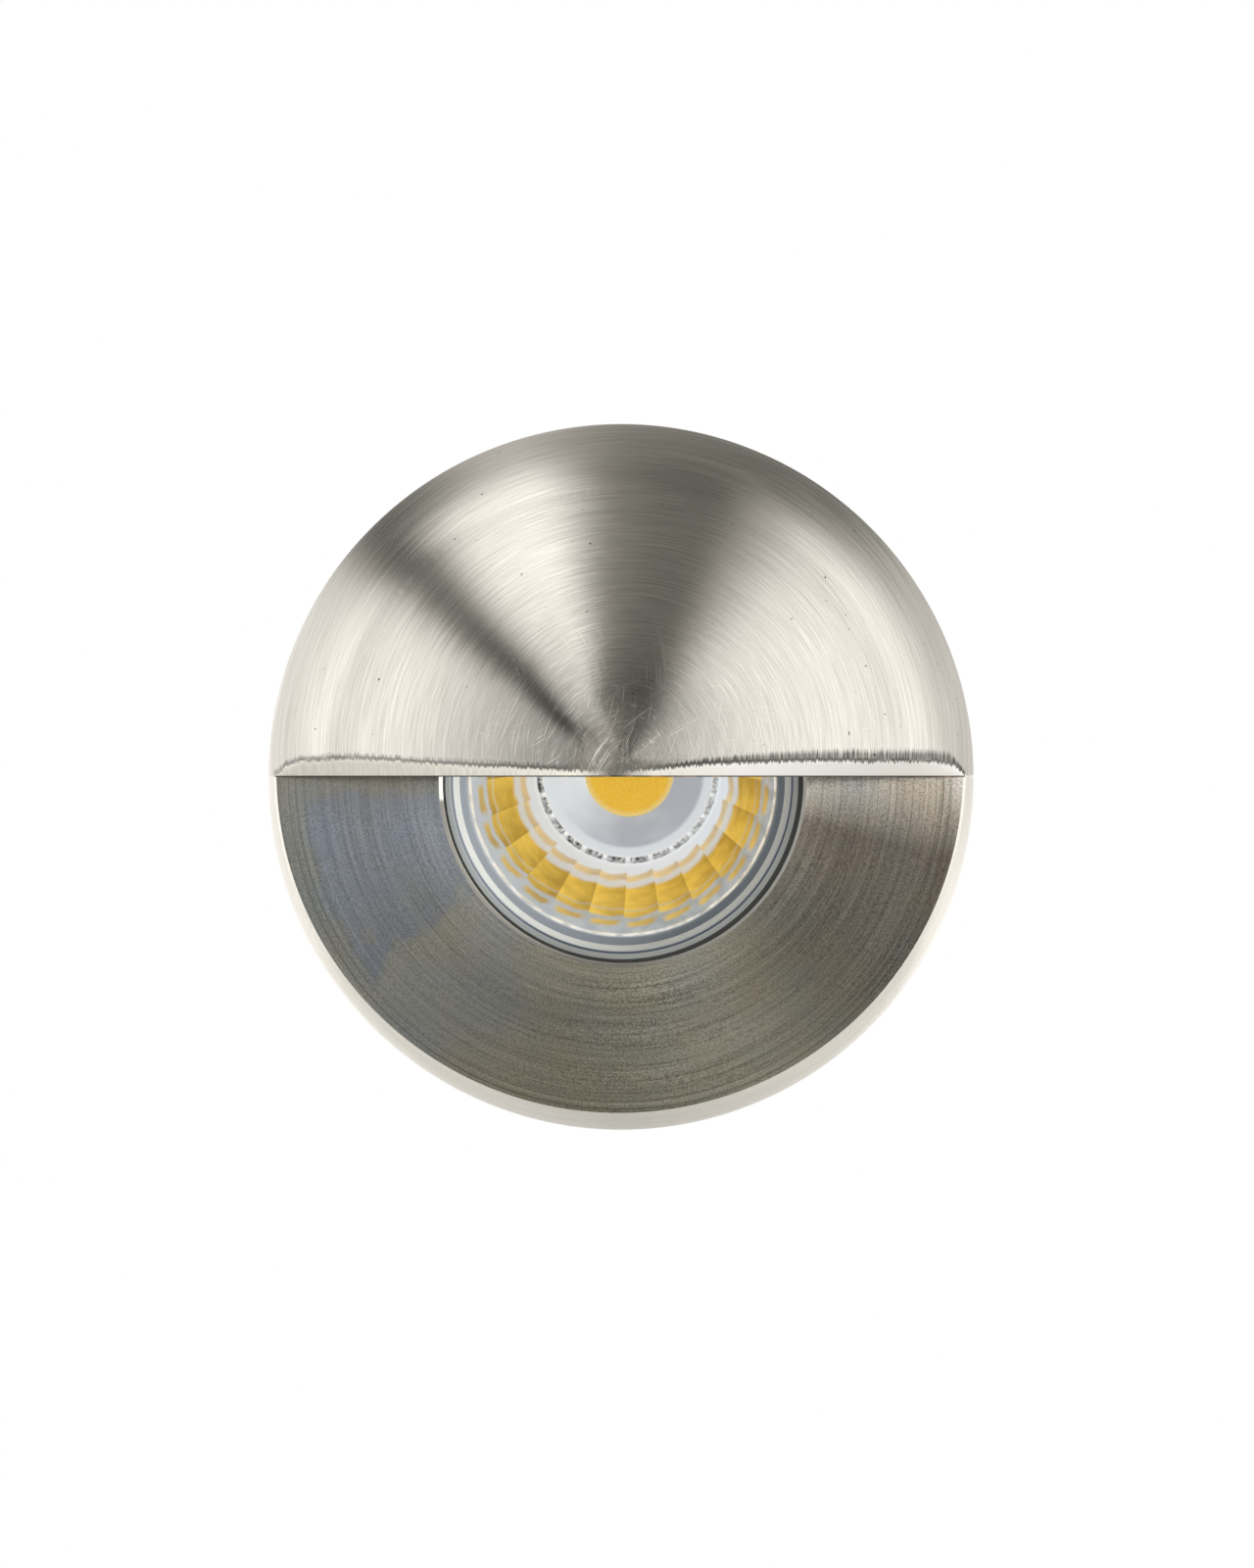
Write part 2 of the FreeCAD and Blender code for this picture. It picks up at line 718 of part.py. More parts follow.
def terminal_screws():
    """Slotted clamping screws, driven down to the leads' height."""
    pieces = []
    top = block_bottom + block_height - clamp_screw_setback
    for x, y in clamp_places():
        pin = upright(clamp_screw_radius, -lead_drop + lead_radius, top, x, y)
        pieces.append(pin.cut(block(x - clamp_screw_radius, x + clamp_screw_radius,
                                    y - slot_width / 2, y + slot_width / 2,
                                    top - slot_depth, top + past)))
    return group(pieces)


def block_screw():
    seat = block_bottom + block_height
    top = seat + small_head_height
    shank = upright(small_screw_radius, block_bottom - plate_thickness, seat, 0, block_middle)
    head_radius = min(small_head_radius, lead_spacing / 2 - clamp_screw_radius - head_clearance)
    head = upright(head_radius, seat, top, 0, block_middle)
    slot = block(-head_radius, head_radius, block_middle - slot_width / 2,
                 block_middle + slot_width / 2, top - slot_depth, top + past)
    return shank.fuse(head).cut(slot)


# ---------------------------------------------------------------- rear cap and gland
def rear_cap():
    cap = rod(body_radius, body_end, cap_back)
    spigot = rear_bore_radius - seat_clearance
    cap = cap.fuse(rod(spigot, spigot_front, body_end))
    width = cap_ring_section + 2 * seat_clearance
    middle = (spigot_front + body_end) / 2
    cap = cap.cut(ring(spigot + past, cap_groove_radius, middle - width / 2, middle + width / 2))
    cap = cap.cut(rod(gland_thread_radius + hole_clearance / 2, spigot_front - past,
                      cap_back + past))
    for p in around(cap_screw_count, cap_screw_circle, 0, math.pi / 4):
        cap = cap.cut(rod(small_screw_radius + hole_clearance, body_end - past, cap_back + past,
                          p.x, p.z))
    return cap


def cap_ring():
    return lip_ring(cap_groove_radius, cap_ring_section, (spigot_front + body_end) / 2)


def cap_screws():
    reach = small_screw_length + cap_thickness / 2
    head = min(small_head_radius, body_radius - cap_screw_circle)
    return group([screw(p.x, p.z, cap_back + small_head_height, reach, small_screw_radius,
                        head, small_head_height)
                  for p in around(cap_screw_count, cap_screw_circle, 0, math.pi / 4)])


def gland_washer():
    return ring(gland_flats / 2, gland_thread_radius + hole_clearance, cap_back, gland_hex_front)


def gland_lock_nut():
    nut = hexagon(lock_nut_flats, spigot_front - lock_nut_height, spigot_front)
    return nut.cut(rod(gland_thread_radius + hole_clearance / 2, stub_front,
                       spigot_front + past))


def gland_body():
    """Threaded stub, hexagon and the collar that holds the rubber insert."""
    stub = rod(gland_thread_radius, stub_front, gland_hex_front)
    collar_end = gland_hex_back + gland_barrel_length
    solid = stub.fuse(hexagon(gland_flats, gland_hex_front, gland_hex_back))
    solid = solid.fuse(rod(gland_barrel_radius, gland_hex_back, collar_end))
    solid = solid.cut(rod(gland_bore_radius, stub_front - past, collar_end + past))
    return solid.cut(rod(seal_radius + seat_clearance, seal_front, collar_end + past))


def gland_seal():
    return ring(seal_radius, seal_bore_radius, seal_front, seal_back)


def gland_nut():
    """Domed nut over the collar: a hexagon with a round nose."""
    outer = gland_barrel_radius + gland_nut_wall
    corner = outer / math.cos(math.radians(30))
    nose = gland_end - nose_length
    prism = hexagon(2 * outer, gland_hex_back + seat_clearance, gland_end)
    envelope = turned([(0, gland_hex_back), (corner, gland_hex_back), (corner, nose),
                       (corner - nose_shoulder_drop, nose + nose_shoulder_length),
                       (nut_mouth_radius + gland_nut_wall, gland_end), (0, gland_end)])
    nut = prism.common(envelope)
    nut = nut.cut(rod(gland_barrel_radius + hole_clearance, gland_hex_back,
                      gland_hex_back + gland_barrel_length + hole_clearance))
    nut = nut.cut(rod(seal_radius + seat_clearance, gland_hex_back, seal_back + seat_clearance))
    return nut.cut(rod(nut_mouth_radius, gland_hex_back, gland_end + past))


# ---------------------------------------------------------------- sleeve
def mounting_sleeve():
    outer = sleeve_bore_radius + sleeve_wall
    tube = rod(outer, -flange_thickness, sleeve_length)
    tube = tube.fuse(rod(flange_radius, -flange_thickness, 0))
    tube = tube.cut(rod(sleeve_bore_radius, -flange_thickness - past, sleeve_length + past))
    half = cable_notch_width / 2
    start = sleeve_length - cable_notch_depth + half
    notch = block(-half, half, start, sleeve_length + past, -outer - past, 0)
    notch = notch.fuse(upright(half, -outer - past, 0, 0, start))
    return tube.cut(notch)


# ---------------------------------------------------------------- all pieces
PIECES = {
    "mounting_sleeve": mounting_sleeve,
    "body_tube": body_tube,
    "body_rings": body_rings,
    "thread_seal": thread_seal,
    "rear_gasket": lambda: glass_gasket(glass_back),
    "lamp_ring": lamp_ring,
    "lamp_bezel": lamp_bezel,
    "lamp_lens": lamp_lens,
    "led_cup": led_cup,
    "led_chip": led_chip,
    "led_board": led_board,
    "lamp_housing": lamp_housing,
    "lamp_base": lamp_base,
    "driver_board": driver_board,
    "lamp_pins": lamp_pins,
    "lamp_holder": lamp_holder,
    "holder_contacts": holder_contacts,
    "holder_leads": holder_leads,
    "holder_bracket": holder_bracket,
    "holder_screws": holder_screws,
    "bracket_screws": bracket_screws,
    "terminal_block": terminal_block,
    "terminal_barrels": terminal_barrels,
    "terminal_screws": terminal_screws,
    "block_screw": block_screw,
    "rear_cap": rear_cap,
    "cap_ring": cap_ring,
    "cap_screws": cap_screws,
    "gland_washer": gland_washer,
    "gland_lock_nut": gland_lock_nut,
    "gland_body": gland_body,
    "gland_seal": gland_seal,
    "gland_nut": gland_nut,
    "front_glass": front_glass,
    "front_gasket": lambda: glass_gasket(lip_back),
    "eyelid_face": eyelid_face,
    "wall_gasket": wall_gasket,
}

os.makedirs("parts", exist_ok=True)
for name, make in PIECES.items():
    save(name, make())
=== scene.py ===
import math
import bpy
import bmesh
from mathutils import Matrix, Vector


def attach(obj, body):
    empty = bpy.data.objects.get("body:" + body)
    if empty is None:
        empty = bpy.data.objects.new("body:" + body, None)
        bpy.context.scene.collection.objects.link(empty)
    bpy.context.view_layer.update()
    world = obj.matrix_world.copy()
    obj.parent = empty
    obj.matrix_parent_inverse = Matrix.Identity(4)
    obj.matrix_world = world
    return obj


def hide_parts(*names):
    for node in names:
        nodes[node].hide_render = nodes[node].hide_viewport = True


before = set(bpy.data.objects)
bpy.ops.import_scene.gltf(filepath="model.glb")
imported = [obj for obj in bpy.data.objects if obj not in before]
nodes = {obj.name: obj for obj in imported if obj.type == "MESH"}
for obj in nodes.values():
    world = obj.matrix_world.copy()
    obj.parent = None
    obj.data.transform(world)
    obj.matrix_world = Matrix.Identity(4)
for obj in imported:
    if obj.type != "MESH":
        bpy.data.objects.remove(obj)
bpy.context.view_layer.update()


# The light is seen from the front and a touch from its right, level with the hood's cut
# edge. The lens is long, so the face keeps its round outline.
mm = 0.001
VIEW_HEIGHT = 210.9 * mm          # what the picture's height covers at the wall plane
CAMERA_DISTANCE = 1.0
CAMERA_X, CAMERA_Z = 0.88 * mm, -0.21 * mm
CAMERA_YAW = math.radians(2.2)

camera_data = bpy.data.cameras.new("camera")
camera_data.sensor_width = 36
camera_data.lens = 36 * CAMERA_DISTANCE / VIEW_HEIGHT
camera_data.clip_start = 0.01
camera = bpy.data.objects.new("camera", camera_data)
camera.location = (CAMERA_X * math.cos(CAMERA_YAW) + CAMERA_DISTANCE * math.sin(CAMERA_YAW),
                   CAMERA_X * math.sin(CAMERA_YAW) - CAMERA_DISTANCE * math.cos(CAMERA_YAW),
                   CAMERA_Z)
camera.rotation_euler = (math.pi / 2, 0, CAMERA_YAW)
bpy.context.scene.collection.objects.link(camera)
bpy.context.scene.camera = camera
bpy.context.scene.view_settings.view_transform = "Standard"


# The studio is a white room. Pale screens with dark gaps between them stand all round the
# light's axis, which a brushed face shows as fans.
def add_node(tree, kind, inputs=None, **settings):
    """A shader node; inputs maps socket names or numbers to values or to other sockets."""
    node = tree.nodes.new(kind)
    for name, value in settings.items():
        setattr(node, name, value)
    for key, value in (inputs or {}).items():
        if isinstance(value, bpy.types.NodeSocket):
            tree.links.new(value, node.inputs[key])
        else:
            node.inputs[key].default_value = value
    return node


def maths(tree, operation, a, b=0.0, c=0.0, clamp=False):
    node = add_node(tree, "ShaderNodeMath", {0: a, 1: b, 2: c}, operation=operation, use_clamp=clamp)
    return node.outputs[0]


def times(tree, a, b):
    return maths(tree, "MULTIPLY", a, b)


def vectors(tree, operation, a, b=(0, 0, 0), scale=1.0):
    """A vector node's result: a number for LENGTH, otherwise a vector."""
    node = add_node(tree, "ShaderNodeVectorMath", {0: a, 1: b, 3: scale}, operation=operation)
    return node.outputs[1 if operation == "LENGTH" else 0]


def parts_of(tree, vector):
    return add_node(tree, "ShaderNodeSeparateXYZ", {0: vector}).outputs


def mixed_value(tree, share, a, b):
    return add_node(tree, "ShaderNodeMix", {0: share, 2: a, 3: b}, data_type="FLOAT").outputs[0]


def mixed_shader(tree, share, a, b):
    return add_node(tree, "ShaderNodeMixShader", {0: share, 1: a, 2: b}).outputs[0]


def ramp(tree, factor, stops, interpolation="LINEAR"):
    """A colour ramp; stops are (place, grey or colour)."""
    node = add_node(tree, "ShaderNodeValToRGB", {0: factor})
    node.color_ramp.interpolation = interpolation
    elements = node.color_ramp.elements
    while len(elements) < len(stops):
        elements.new(0.5)
    for element, (place, colour) in zip(elements, stops):
        element.position = place
        if not isinstance(colour, tuple):
            colour = (colour, colour, colour)
        element.color = (*colour, 1)
    return node.outputs[0]


world = bpy.data.worlds.new("studio")
bpy.context.scene.world = world
world.use_nodes = True
room = world.node_tree
room.nodes.clear()
way = add_node(room, "ShaderNodeTexCoord").outputs["Generated"]
to_x, to_y, to_z = parts_of(room, way)
turn = maths(room, "ARCTAN2", to_z, to_x)
turn_share = maths(room, "ADD", maths(room, "DIVIDE", turn, 2 * math.pi), 0.5)
# round the axis from the left (0) by below (0.25), right (0.5) and above (0.75) to left (1)
SCREENS = [
    (0.000, 2.10), (0.040, 1.10), (0.110, 0.60), (0.230, 0.55), (0.300, 0.42), (0.400, 0.45),
    (0.460, 1.00), (0.500, 2.45), (0.605, 2.40), (0.645, 2.05), (0.668, 1.15), (0.700, 0.15),
    (0.735, 0.18), (0.769, 0.38), (0.786, 1.50), (0.799, 2.70), (0.845, 2.65), (0.863, 1.25),
    (0.871, 0.04), (0.889, 0.05), (0.898, 1.50), (0.914, 2.25), (0.940, 2.35), (1.000, 2.30),
]
# the same round to the sides and behind, which the shoulder and the rim show
SIDES = [
    (0.000, 1.30), (0.030, 1.05), (0.070, 1.15), (0.100, 1.35), (0.130, 1.50), (0.160, 1.35),
    (0.200, 1.00), (0.270, 0.86), (0.320, 1.00), (0.360, 1.30), (0.400, 1.40), (0.440, 1.20),
    (0.480, 1.05), (0.530, 1.12), (0.575, 1.00), (0.610, 0.72),
    (0.630, 0.45), (0.645, 0.31), (0.675, 0.26), (0.720, 0.34), (0.750, 0.41), (0.765, 0.52),
    (0.785, 0.72), (0.805, 0.95), (0.820, 0.82), (0.840, 0.42), (0.862, 0.15), (0.882, 0.15),
    (0.893, 0.60), (0.905, 1.30), (0.930, 1.45), (1.000, 1.45),
]
STRONGEST = 3.0       # the two ramps hold shares of this strength
MIDDLE_STRENGTH = 0.25
screens, sides = [ramp(room, turn_share, [(place, value / STRONGEST) for place, value in stops])
                  for stops in (SCREENS, SIDES)]
front = maths(room, "MULTIPLY_ADD", to_y, -0.5, 0.5)    # 1 straight in front, 0 behind
aside = ramp(room, front, [(0.58, 1.0), (0.84, 0.0)])
around = times(room, mixed_value(room, aside, screens, sides), STRONGEST)
middle = ramp(room, front, [(0.93, 0.0), (0.985, 1.0)])
strength = mixed_value(room, middle, around, MIDDLE_STRENGTH)
# the darker parts of the room are the warmer ones
warmth = ramp(room, times(room, strength, 0.6),
              [(0.0, (1.0, 0.965, 0.87)), (0.5, (1.0, 0.975, 0.935)), (1.0, (1.0, 0.985, 0.965))])
studio_light = add_node(room, "ShaderNodeBackground", {0: warmth, 1: strength}).outputs[0]
# the camera itself sees plain white
white_room = add_node(room, "ShaderNodeBackground", {0: (1, 1, 1, 1), 1: 1.0}).outputs[0]
path = add_node(room, "ShaderNodeLightPath").outputs
seen = maths(room, "MAXIMUM", path["Is Camera Ray"], path["Is Transmission Ray"])
add_node(room, "ShaderNodeOutputWorld", {0: mixed_shader(room, seen, studio_light, white_room)})


# A pale table stands well below the light and fades out round its edge.
TABLE_Y, TABLE_Z, TABLE_RADIUS = 0.03, -0.2, 0.62
table_mesh = bmesh.new()
bmesh.ops.create_circle(table_mesh, cap_ends=True, segments=96, radius=TABLE_RADIUS)
bmesh.ops.translate(table_mesh, verts=table_mesh.verts, vec=(0, TABLE_Y, TABLE_Z))


def new_piece(name, mesh, crease=30):
    """Turns a bmesh into an object in the row frame, smooth but for edges past the crease."""
    data = bpy.data.meshes.new(name)
    for face in mesh.faces:
        face.smooth = True
    for edge in mesh.edges:
        edge.smooth = edge.calc_face_angle(math.pi) < math.radians(crease)
    mesh.to_mesh(data)
    mesh.free()
    piece = bpy.data.objects.new(name, data)
    bpy.context.scene.collection.objects.link(piece)
    return piece


table = new_piece("table", table_mesh)
table_finish = bpy.data.materials.new("pale_table")
table_finish.use_nodes = True
tree = table_finish.node_tree
tree.nodes.clear()
place = add_node(tree, "ShaderNodeTexCoord").outputs["Object"]
from_middle = vectors(tree, "ADD", place, (0, -TABLE_Y, 0))
from_middle = vectors(tree, "LENGTH", vectors(tree, "MULTIPLY", from_middle, (1, 1, 0)))
fade = ramp(tree, maths(tree, "DIVIDE", from_middle, TABLE_RADIUS),
            [(0.0, 0.0), (0.45, 0.0), (0.96, 1.0)], "EASE")
pale = add_node(tree, "ShaderNodeBsdfDiffuse", {0: (0.93, 0.93, 0.93, 1)}).outputs[0]
clear = add_node(tree, "ShaderNodeBsdfTransparent").outputs[0]
add_node(tree, "ShaderNodeOutputMaterial", {0: mixed_shader(tree, fade, pale, clear)})
table.data.materials.append(table_finish)


# The face is one turned piece of stainless steel: a pointed hood over the upper half, its
# lower edge ground to two flats, and a floor cut back below it round the opening. It is
# brushed in circles; the floor is bare from the lathe and the flats are brushed upright.
OUTLINE_Z = 0.75 * mm
FACE_RADIUS, HOOD_DEPTH, FLOOR_DEPTH = 47.5 * mm, 21.0 * mm, 4.4 * mm
HOOD_SLOPE, FLOOR_TILT = math.radians(14.4), math.radians(2.4)
SHOULDER_RADIUS = 38.0 * mm
BORE_RADIUS, LIP_BACK, BORE_EDGE, BORE_ASIDE = 24.25 * mm, -2.4 * mm, 0.4 * mm, 0.45 * mm
HOOD_WALL, TIP_ROUND = 2.6 * mm, 1.1 * mm
TIP_X, TIP_Z, TIP_REACH = 1.3 * mm, 2.45 * mm, 14 * mm      # the cone's tip stands above the cut
FLAT_SOFT = 0.45 * mm
# how far the flats reach above the cut at a distance from the middle, in mm, left and right
FLAT_HEIGHTS = (
    [(0, 0.50), (6, 0.79), (10.6, 1.0), (15, 1.2), (19, 1.42), (22, 1.6), (25.3, 1.77), (28.5, 1.96),
     (32, 2.19), (35, 2.33), (38.3, 2.32), (41.4, 2.10), (43, 1.85), (44.7, 1.2), (46.4, 0)],
    [(0, 0.55), (6, 1.0), (11.4, 1.5), (15.8, 1.75), (20, 1.90), (26, 2.06), (32, 2.02), (38.7, 1.96),
     (42, 1.98), (44.1, 1.70), (45, 1.3), (46.4, 0)],
)
RIM_EDGE = 0.25 * mm
CONE_RINGS, BEND_RINGS, RIM_RINGS, HALF_STEPS = 60, 22, 14, 360
HOLLOW_RINGS, FLOOR_RINGS = 12, 8

shoulder_y = -HOOD_DEPTH + SHOULDER_RADIUS * math.tan(HOOD_SLOPE)
bend = (FACE_RADIUS - SHOULDER_RADIUS) / (1 - math.sin(HOOD_SLOPE))
bend_r = SHOULDER_RADIUS - bend * math.sin(HOOD_SLOPE)
bend_y = shoulder_y + bend * math.cos(HOOD_SLOPE)


def dome_radius(y):
    return bend_r + math.sqrt(bend ** 2 - (y - bend_y) ** 2)


def floor_y(z):
    return -FLOOR_DEPTH + min(0.0, z - OUTLINE_Z) * math.tan(FLOOR_TILT)


def swept(mesh, count, steps, start, sweep, put, finish=0):
    """Spins a row of points about the Y axis from +X towards +Z; put(i, angle) places point i."""
    part = bmesh.new()
    row = [part.verts.new(((i + 1) * mm * math.cos(start), 0, (i + 1) * mm * math.sin(start)))
           for i in range(count)]
    for pair in zip(row, row[1:]):
        part.edges.new(pair)
    bmesh.ops.spin(part, geom=part.verts[:] + part.edges[:], cent=(0, 0, 0), axis=(0, -1, 0),
                   angle=sweep, steps=steps, use_merge=sweep > 6, use_duplicate=False)
    for v in part.verts:
        v.co = put(round(math.hypot(v.co.x, v.co.z) / mm) - 1, math.atan2(v.co.z, v.co.x))
    for face in part.faces:
        face.material_index = finish
    data = bpy.data.meshes.new("part")
    part.to_mesh(data)
    part.free()
    mesh.from_mesh(data)
    bpy.data.meshes.remove(data)


def on_outline(r, y, angle):
    return Vector((r * math.cos(angle), y, OUTLINE_Z + r * math.sin(angle)))


def on_axis(r, y, angle):
    """A point of a circle round the lamp's axis, on a ray from the outline's centre."""
    reach = -OUTLINE_Z * math.sin(angle) + math.sqrt(r ** 2 - (OUTLINE_Z * math.cos(angle)) ** 2)
    return on_outline(reach, y, angle)


corner_radius = dome_radius(-FLOOR_DEPTH)
edge_slope = (HOOD_DEPTH - FLOOR_DEPTH) / corner_radius
hollow_tip = -HOOD_DEPTH + HOOD_WALL
hollow_foot = (-FLOOR_DEPTH - hollow_tip) / edge_slope
HOOD, FLOOR, RIM, BACK = range(4)
face_mesh = bmesh.new()

# the outside of the hood, a half turn of cone, rounded shoulder and rim; its lower edge is
# ground flat from the tip to either corner, and soft above the flats
hood_profile = []
for i in range(CONE_RINGS + 1):
    r = SHOULDER_RADIUS * i / CONE_RINGS
    hood_profile.append((r, -HOOD_DEPTH + math.hypot(r, TIP_ROUND) * math.tan(HOOD_SLOPE)))
bend_end = math.asin((corner_radius - bend_r) / bend)
for i in range(1, BEND_RINGS + 1):
    angle = HOOD_SLOPE + (bend_end - HOOD_SLOPE) * i / BEND_RINGS
    hood_profile.append((bend_r + bend * math.sin(angle), bend_y - bend * math.cos(angle)))
for i in range(1, RIM_RINGS + 1):
    y = -FLOOR_DEPTH * (1 - i / RIM_RINGS)
    hood_profile.append((dome_radius(y), y))


def dome_y(x, z):
    """The hood's outside before its flats are ground; the cone's tip stands above the cut."""
    r = math.hypot(x, z - OUTLINE_Z)
    if r > SHOULDER_RADIUS:
        return bend_y - math.sqrt(bend ** 2 - (r - bend_r) ** 2)
    share = min(1.0, (SHOULDER_RADIUS - r) / (SHOULDER_RADIUS - TIP_REACH))
    share *= share * (3 - 2 * share)
    from_tip = math.hypot(x - share * TIP_X, z - OUTLINE_Z - share * TIP_Z)
    return -HOOD_DEPTH + math.hypot(from_tip, TIP_ROUND) * math.tan(HOOD_SLOPE)


def flat_height(x):
    heights = FLAT_HEIGHTS[1 if x > 0 else 0]
    for (x0, h0), (x1, h1) in zip(heights, heights[1:]):
        if abs(x) < x1 * mm:
            return (h0 + (h1 - h0) * (abs(x) / mm - x0) / (x1 - x0)) * mm
    return 0.0


def flat_depth(x, z):
    edge_y, height = edge_slope * abs(x) - HOOD_DEPTH, flat_height(x)
    if height < 0.01 * mm:
        return -HOOD_DEPTH
    lean = max(0.0, edge_y - dome_y(x, OUTLINE_Z + height)) / height
    return edge_y - lean * (z - OUTLINE_Z)


def hood_point(i, angle):
    point = on_outline(*hood_profile[i], angle)
    if i <= CONE_RINGS:
        point.y = dome_y(point.x, point.z)
    proud = flat_depth(point.x, point.z) - point.y
    if proud > FLAT_SOFT:
        point.y += proud
    elif proud > -FLAT_SOFT:
        point.y += (proud + FLAT_SOFT) ** 2 / (4 * FLAT_SOFT)
    return point


swept(face_mesh, len(hood_profile), HALF_STEPS, 0, math.pi, hood_point, HOOD)

# the hollow under the hood, down to the floor
swept(face_mesh, HOLLOW_RINGS + 1, HALF_STEPS, 0, math.pi,
      lambda i, angle: on_outline(hollow_foot * i / HOLLOW_RINGS,
                                  hollow_tip + edge_slope * hollow_foot * i / HOLLOW_RINGS, angle),
      BACK)


# below the cut: the outer floor, its rolled edge and the rim
def floor_edge(angle):
    edge_y = -FLOOR_DEPTH
    for _ in range(6):
        edge_y = floor_y(OUTLINE_Z + dome_radius(edge_y) * math.sin(angle))
    return dome_radius(edge_y), edge_y


def outer_floor_point(i, angle):
    r = hollow_foot + (floor_edge(angle)[0] - RIM_EDGE - hollow_foot) * i / FLOOR_RINGS
    return on_outline(r, floor_y(OUTLINE_Z + r * math.sin(angle)), angle)


def rim_point(i, angle):
    if i == 0:
        return outer_floor_point(FLOOR_RINGS, angle)
    y = (floor_edge(angle)[1] + RIM_EDGE) * (1 - (i - 1) / (RIM_RINGS - 1))
    return on_outline(dome_radius(y), y, angle)


swept(face_mesh, FLOOR_RINGS + 1, HALF_STEPS, math.pi, math.pi, outer_floor_point, FLOOR)
swept(face_mesh, RIM_RINGS + 1, HALF_STEPS, math.pi, math.pi, rim_point, RIM)

# the inner floor, the opening, the seat behind it, the threaded skirt and the back
SEAT_RADIUS, THREAD_RADIUS, SKIRT_RADIUS = 27.3 * mm, 29.1 * mm, 32.0 * mm
THREAD_START, SKIRT_END, SKIRT_CHAMFER = 2.6 * mm, 14.0 * mm, 0.4 * mm
RECESS_RADIUS, RECESS_Y = 42.0 * mm, -2.0 * mm
GROOVE_IN, GROOVE_OUT, GROOVE_Y = 43.4 * mm, 45.6 * mm, -1.2 * mm
BORE_POINTS = 3       # the first points of AROUND_AXIS are the opening's
AROUND_AXIS = [(BORE_RADIUS + BORE_EDGE, -FLOOR_DEPTH), (BORE_RADIUS, -FLOOR_DEPTH + BORE_EDGE),
               (BORE_RADIUS, LIP_BACK), (SEAT_RADIUS, LIP_BACK), (SEAT_RADIUS, THREAD_START),
               (THREAD_RADIUS, THREAD_START), (THREAD_RADIUS, SKIRT_END - SKIRT_CHAMFER),
               (THREAD_RADIUS + SKIRT_CHAMFER, SKIRT_END), (SKIRT_RADIUS - SKIRT_CHAMFER, SKIRT_END),
               (SKIRT_RADIUS, SKIRT_END - SKIRT_CHAMFER), (SKIRT_RADIUS, RECESS_Y + SKIRT_CHAMFER),
               (SKIRT_RADIUS + SKIRT_CHAMFER, RECESS_Y), (RECESS_RADIUS, RECESS_Y), (RECESS_RADIUS, 0.0)]
BACK_RIM = [(GROOVE_IN, 0.0), (GROOVE_IN, GROOVE_Y), (GROOVE_OUT, GROOVE_Y), (GROOVE_OUT, 0.0),
            (dome_radius(0), 0.0)]


def axis_point(i, angle):
    if i < len(AROUND_AXIS):
        point = on_axis(*AROUND_AXIS[i], angle)
        if i < BORE_POINTS:
            point.x += BORE_ASIDE
    else:
        point = on_outline(*BACK_RIM[i - len(AROUND_AXIS)], angle)
    if point.y < LIP_BACK - BORE_EDGE:
        point.y += floor_y(point.z) + FLOOR_DEPTH
    return point


def inner_floor_point(i, angle):
    foot = on_outline(hollow_foot, -FLOOR_DEPTH, angle)
    foot.y = floor_y(foot.z)
    return foot.lerp(axis_point(0, angle), i / FLOOR_RINGS)


swept(face_mesh, FLOOR_RINGS + 1, 2 * HALF_STEPS, 0, 2 * math.pi, inner_floor_point, FLOOR)
swept(face_mesh, BORE_POINTS, 2 * HALF_STEPS, 0, 2 * math.pi, axis_point, RIM)
swept(face_mesh, len(AROUND_AXIS) + len(BACK_RIM) - BORE_POINTS + 1, 2 * HALF_STEPS, 0, 2 * math.pi,
      lambda i, angle: axis_point(i + BORE_POINTS - 1, angle), BACK)
bmesh.ops.remove_doubles(face_mesh, verts=face_mesh.verts, dist=0.002 * mm)

# the hood's underside closes the piece
open_edges = [e for e in face_mesh.edges if e.is_boundary]
underside = bmesh.ops.contextual_create(face_mesh, geom=open_edges)["faces"]
for face in underside:
    face.material_index = BACK
bmesh.ops.recalc_face_normals(face_mesh, faces=face_mesh.faces)


def new_finish(name):
    finish = bpy.data.materials.new(name)
    finish.use_nodes = True
    finish.node_tree.nodes.clear()
    return finish


def centred(tree, x0=0.0, z0=0.0):
    """Distance from, and direction away from, an axis along Y through (x0, z0)."""
    place = add_node(tree, "ShaderNodeTexCoord").outputs["Object"]
    offset = vectors(tree, "ADD", place, (-x0, 0, -z0))
    flat = vectors(tree, "MULTIPLY", offset, (1, 0, 1))
    return place, vectors(tree, "LENGTH", flat), vectors(tree, "NORMALIZE", flat)


def arcs(tree, distance, outward, fine, along, detail=3.0):
    """Noise drawn out into arcs: fine streaks per metre outwards, along per radian."""
    step = add_node(tree, "ShaderNodeCombineXYZ", {1: times(tree, distance, fine)}).outputs[0]
    where = vectors(tree, "ADD", vectors(tree, "SCALE", outward, scale=along), step)
    noise = add_node(tree, "ShaderNodeTexNoise", {
        "Vector": where, "Scale": 1.0, "Detail": detail, "Roughness": 0.6})
    return noise.outputs[0]


def mixed_colour(tree, share, a, b, blend_type="MIX"):
    a = (*a, 1) if isinstance(a, tuple) else a
    b = (*b, 1) if isinstance(b, tuple) else b
    node = add_node(tree, "ShaderNodeMix", {0: share, 6: a, 7: b}, data_type="RGBA",
                    blend_type=blend_type)
    return node.outputs[2]


def tinted(tree, colour, tint):
    return mixed_colour(tree, 1.0, colour, tint, "MULTIPLY")


def ramp_over(tree, distance, reach, stops):
    """A ramp whose stops are shares of a reach in metres."""
    return ramp(tree, times(tree, distance, 1 / reach), stops)


def about_zero(tree, noise):
    """A noise value moved to lie evenly round zero."""
    return maths(tree, "SUBTRACT", noise, 0.5)


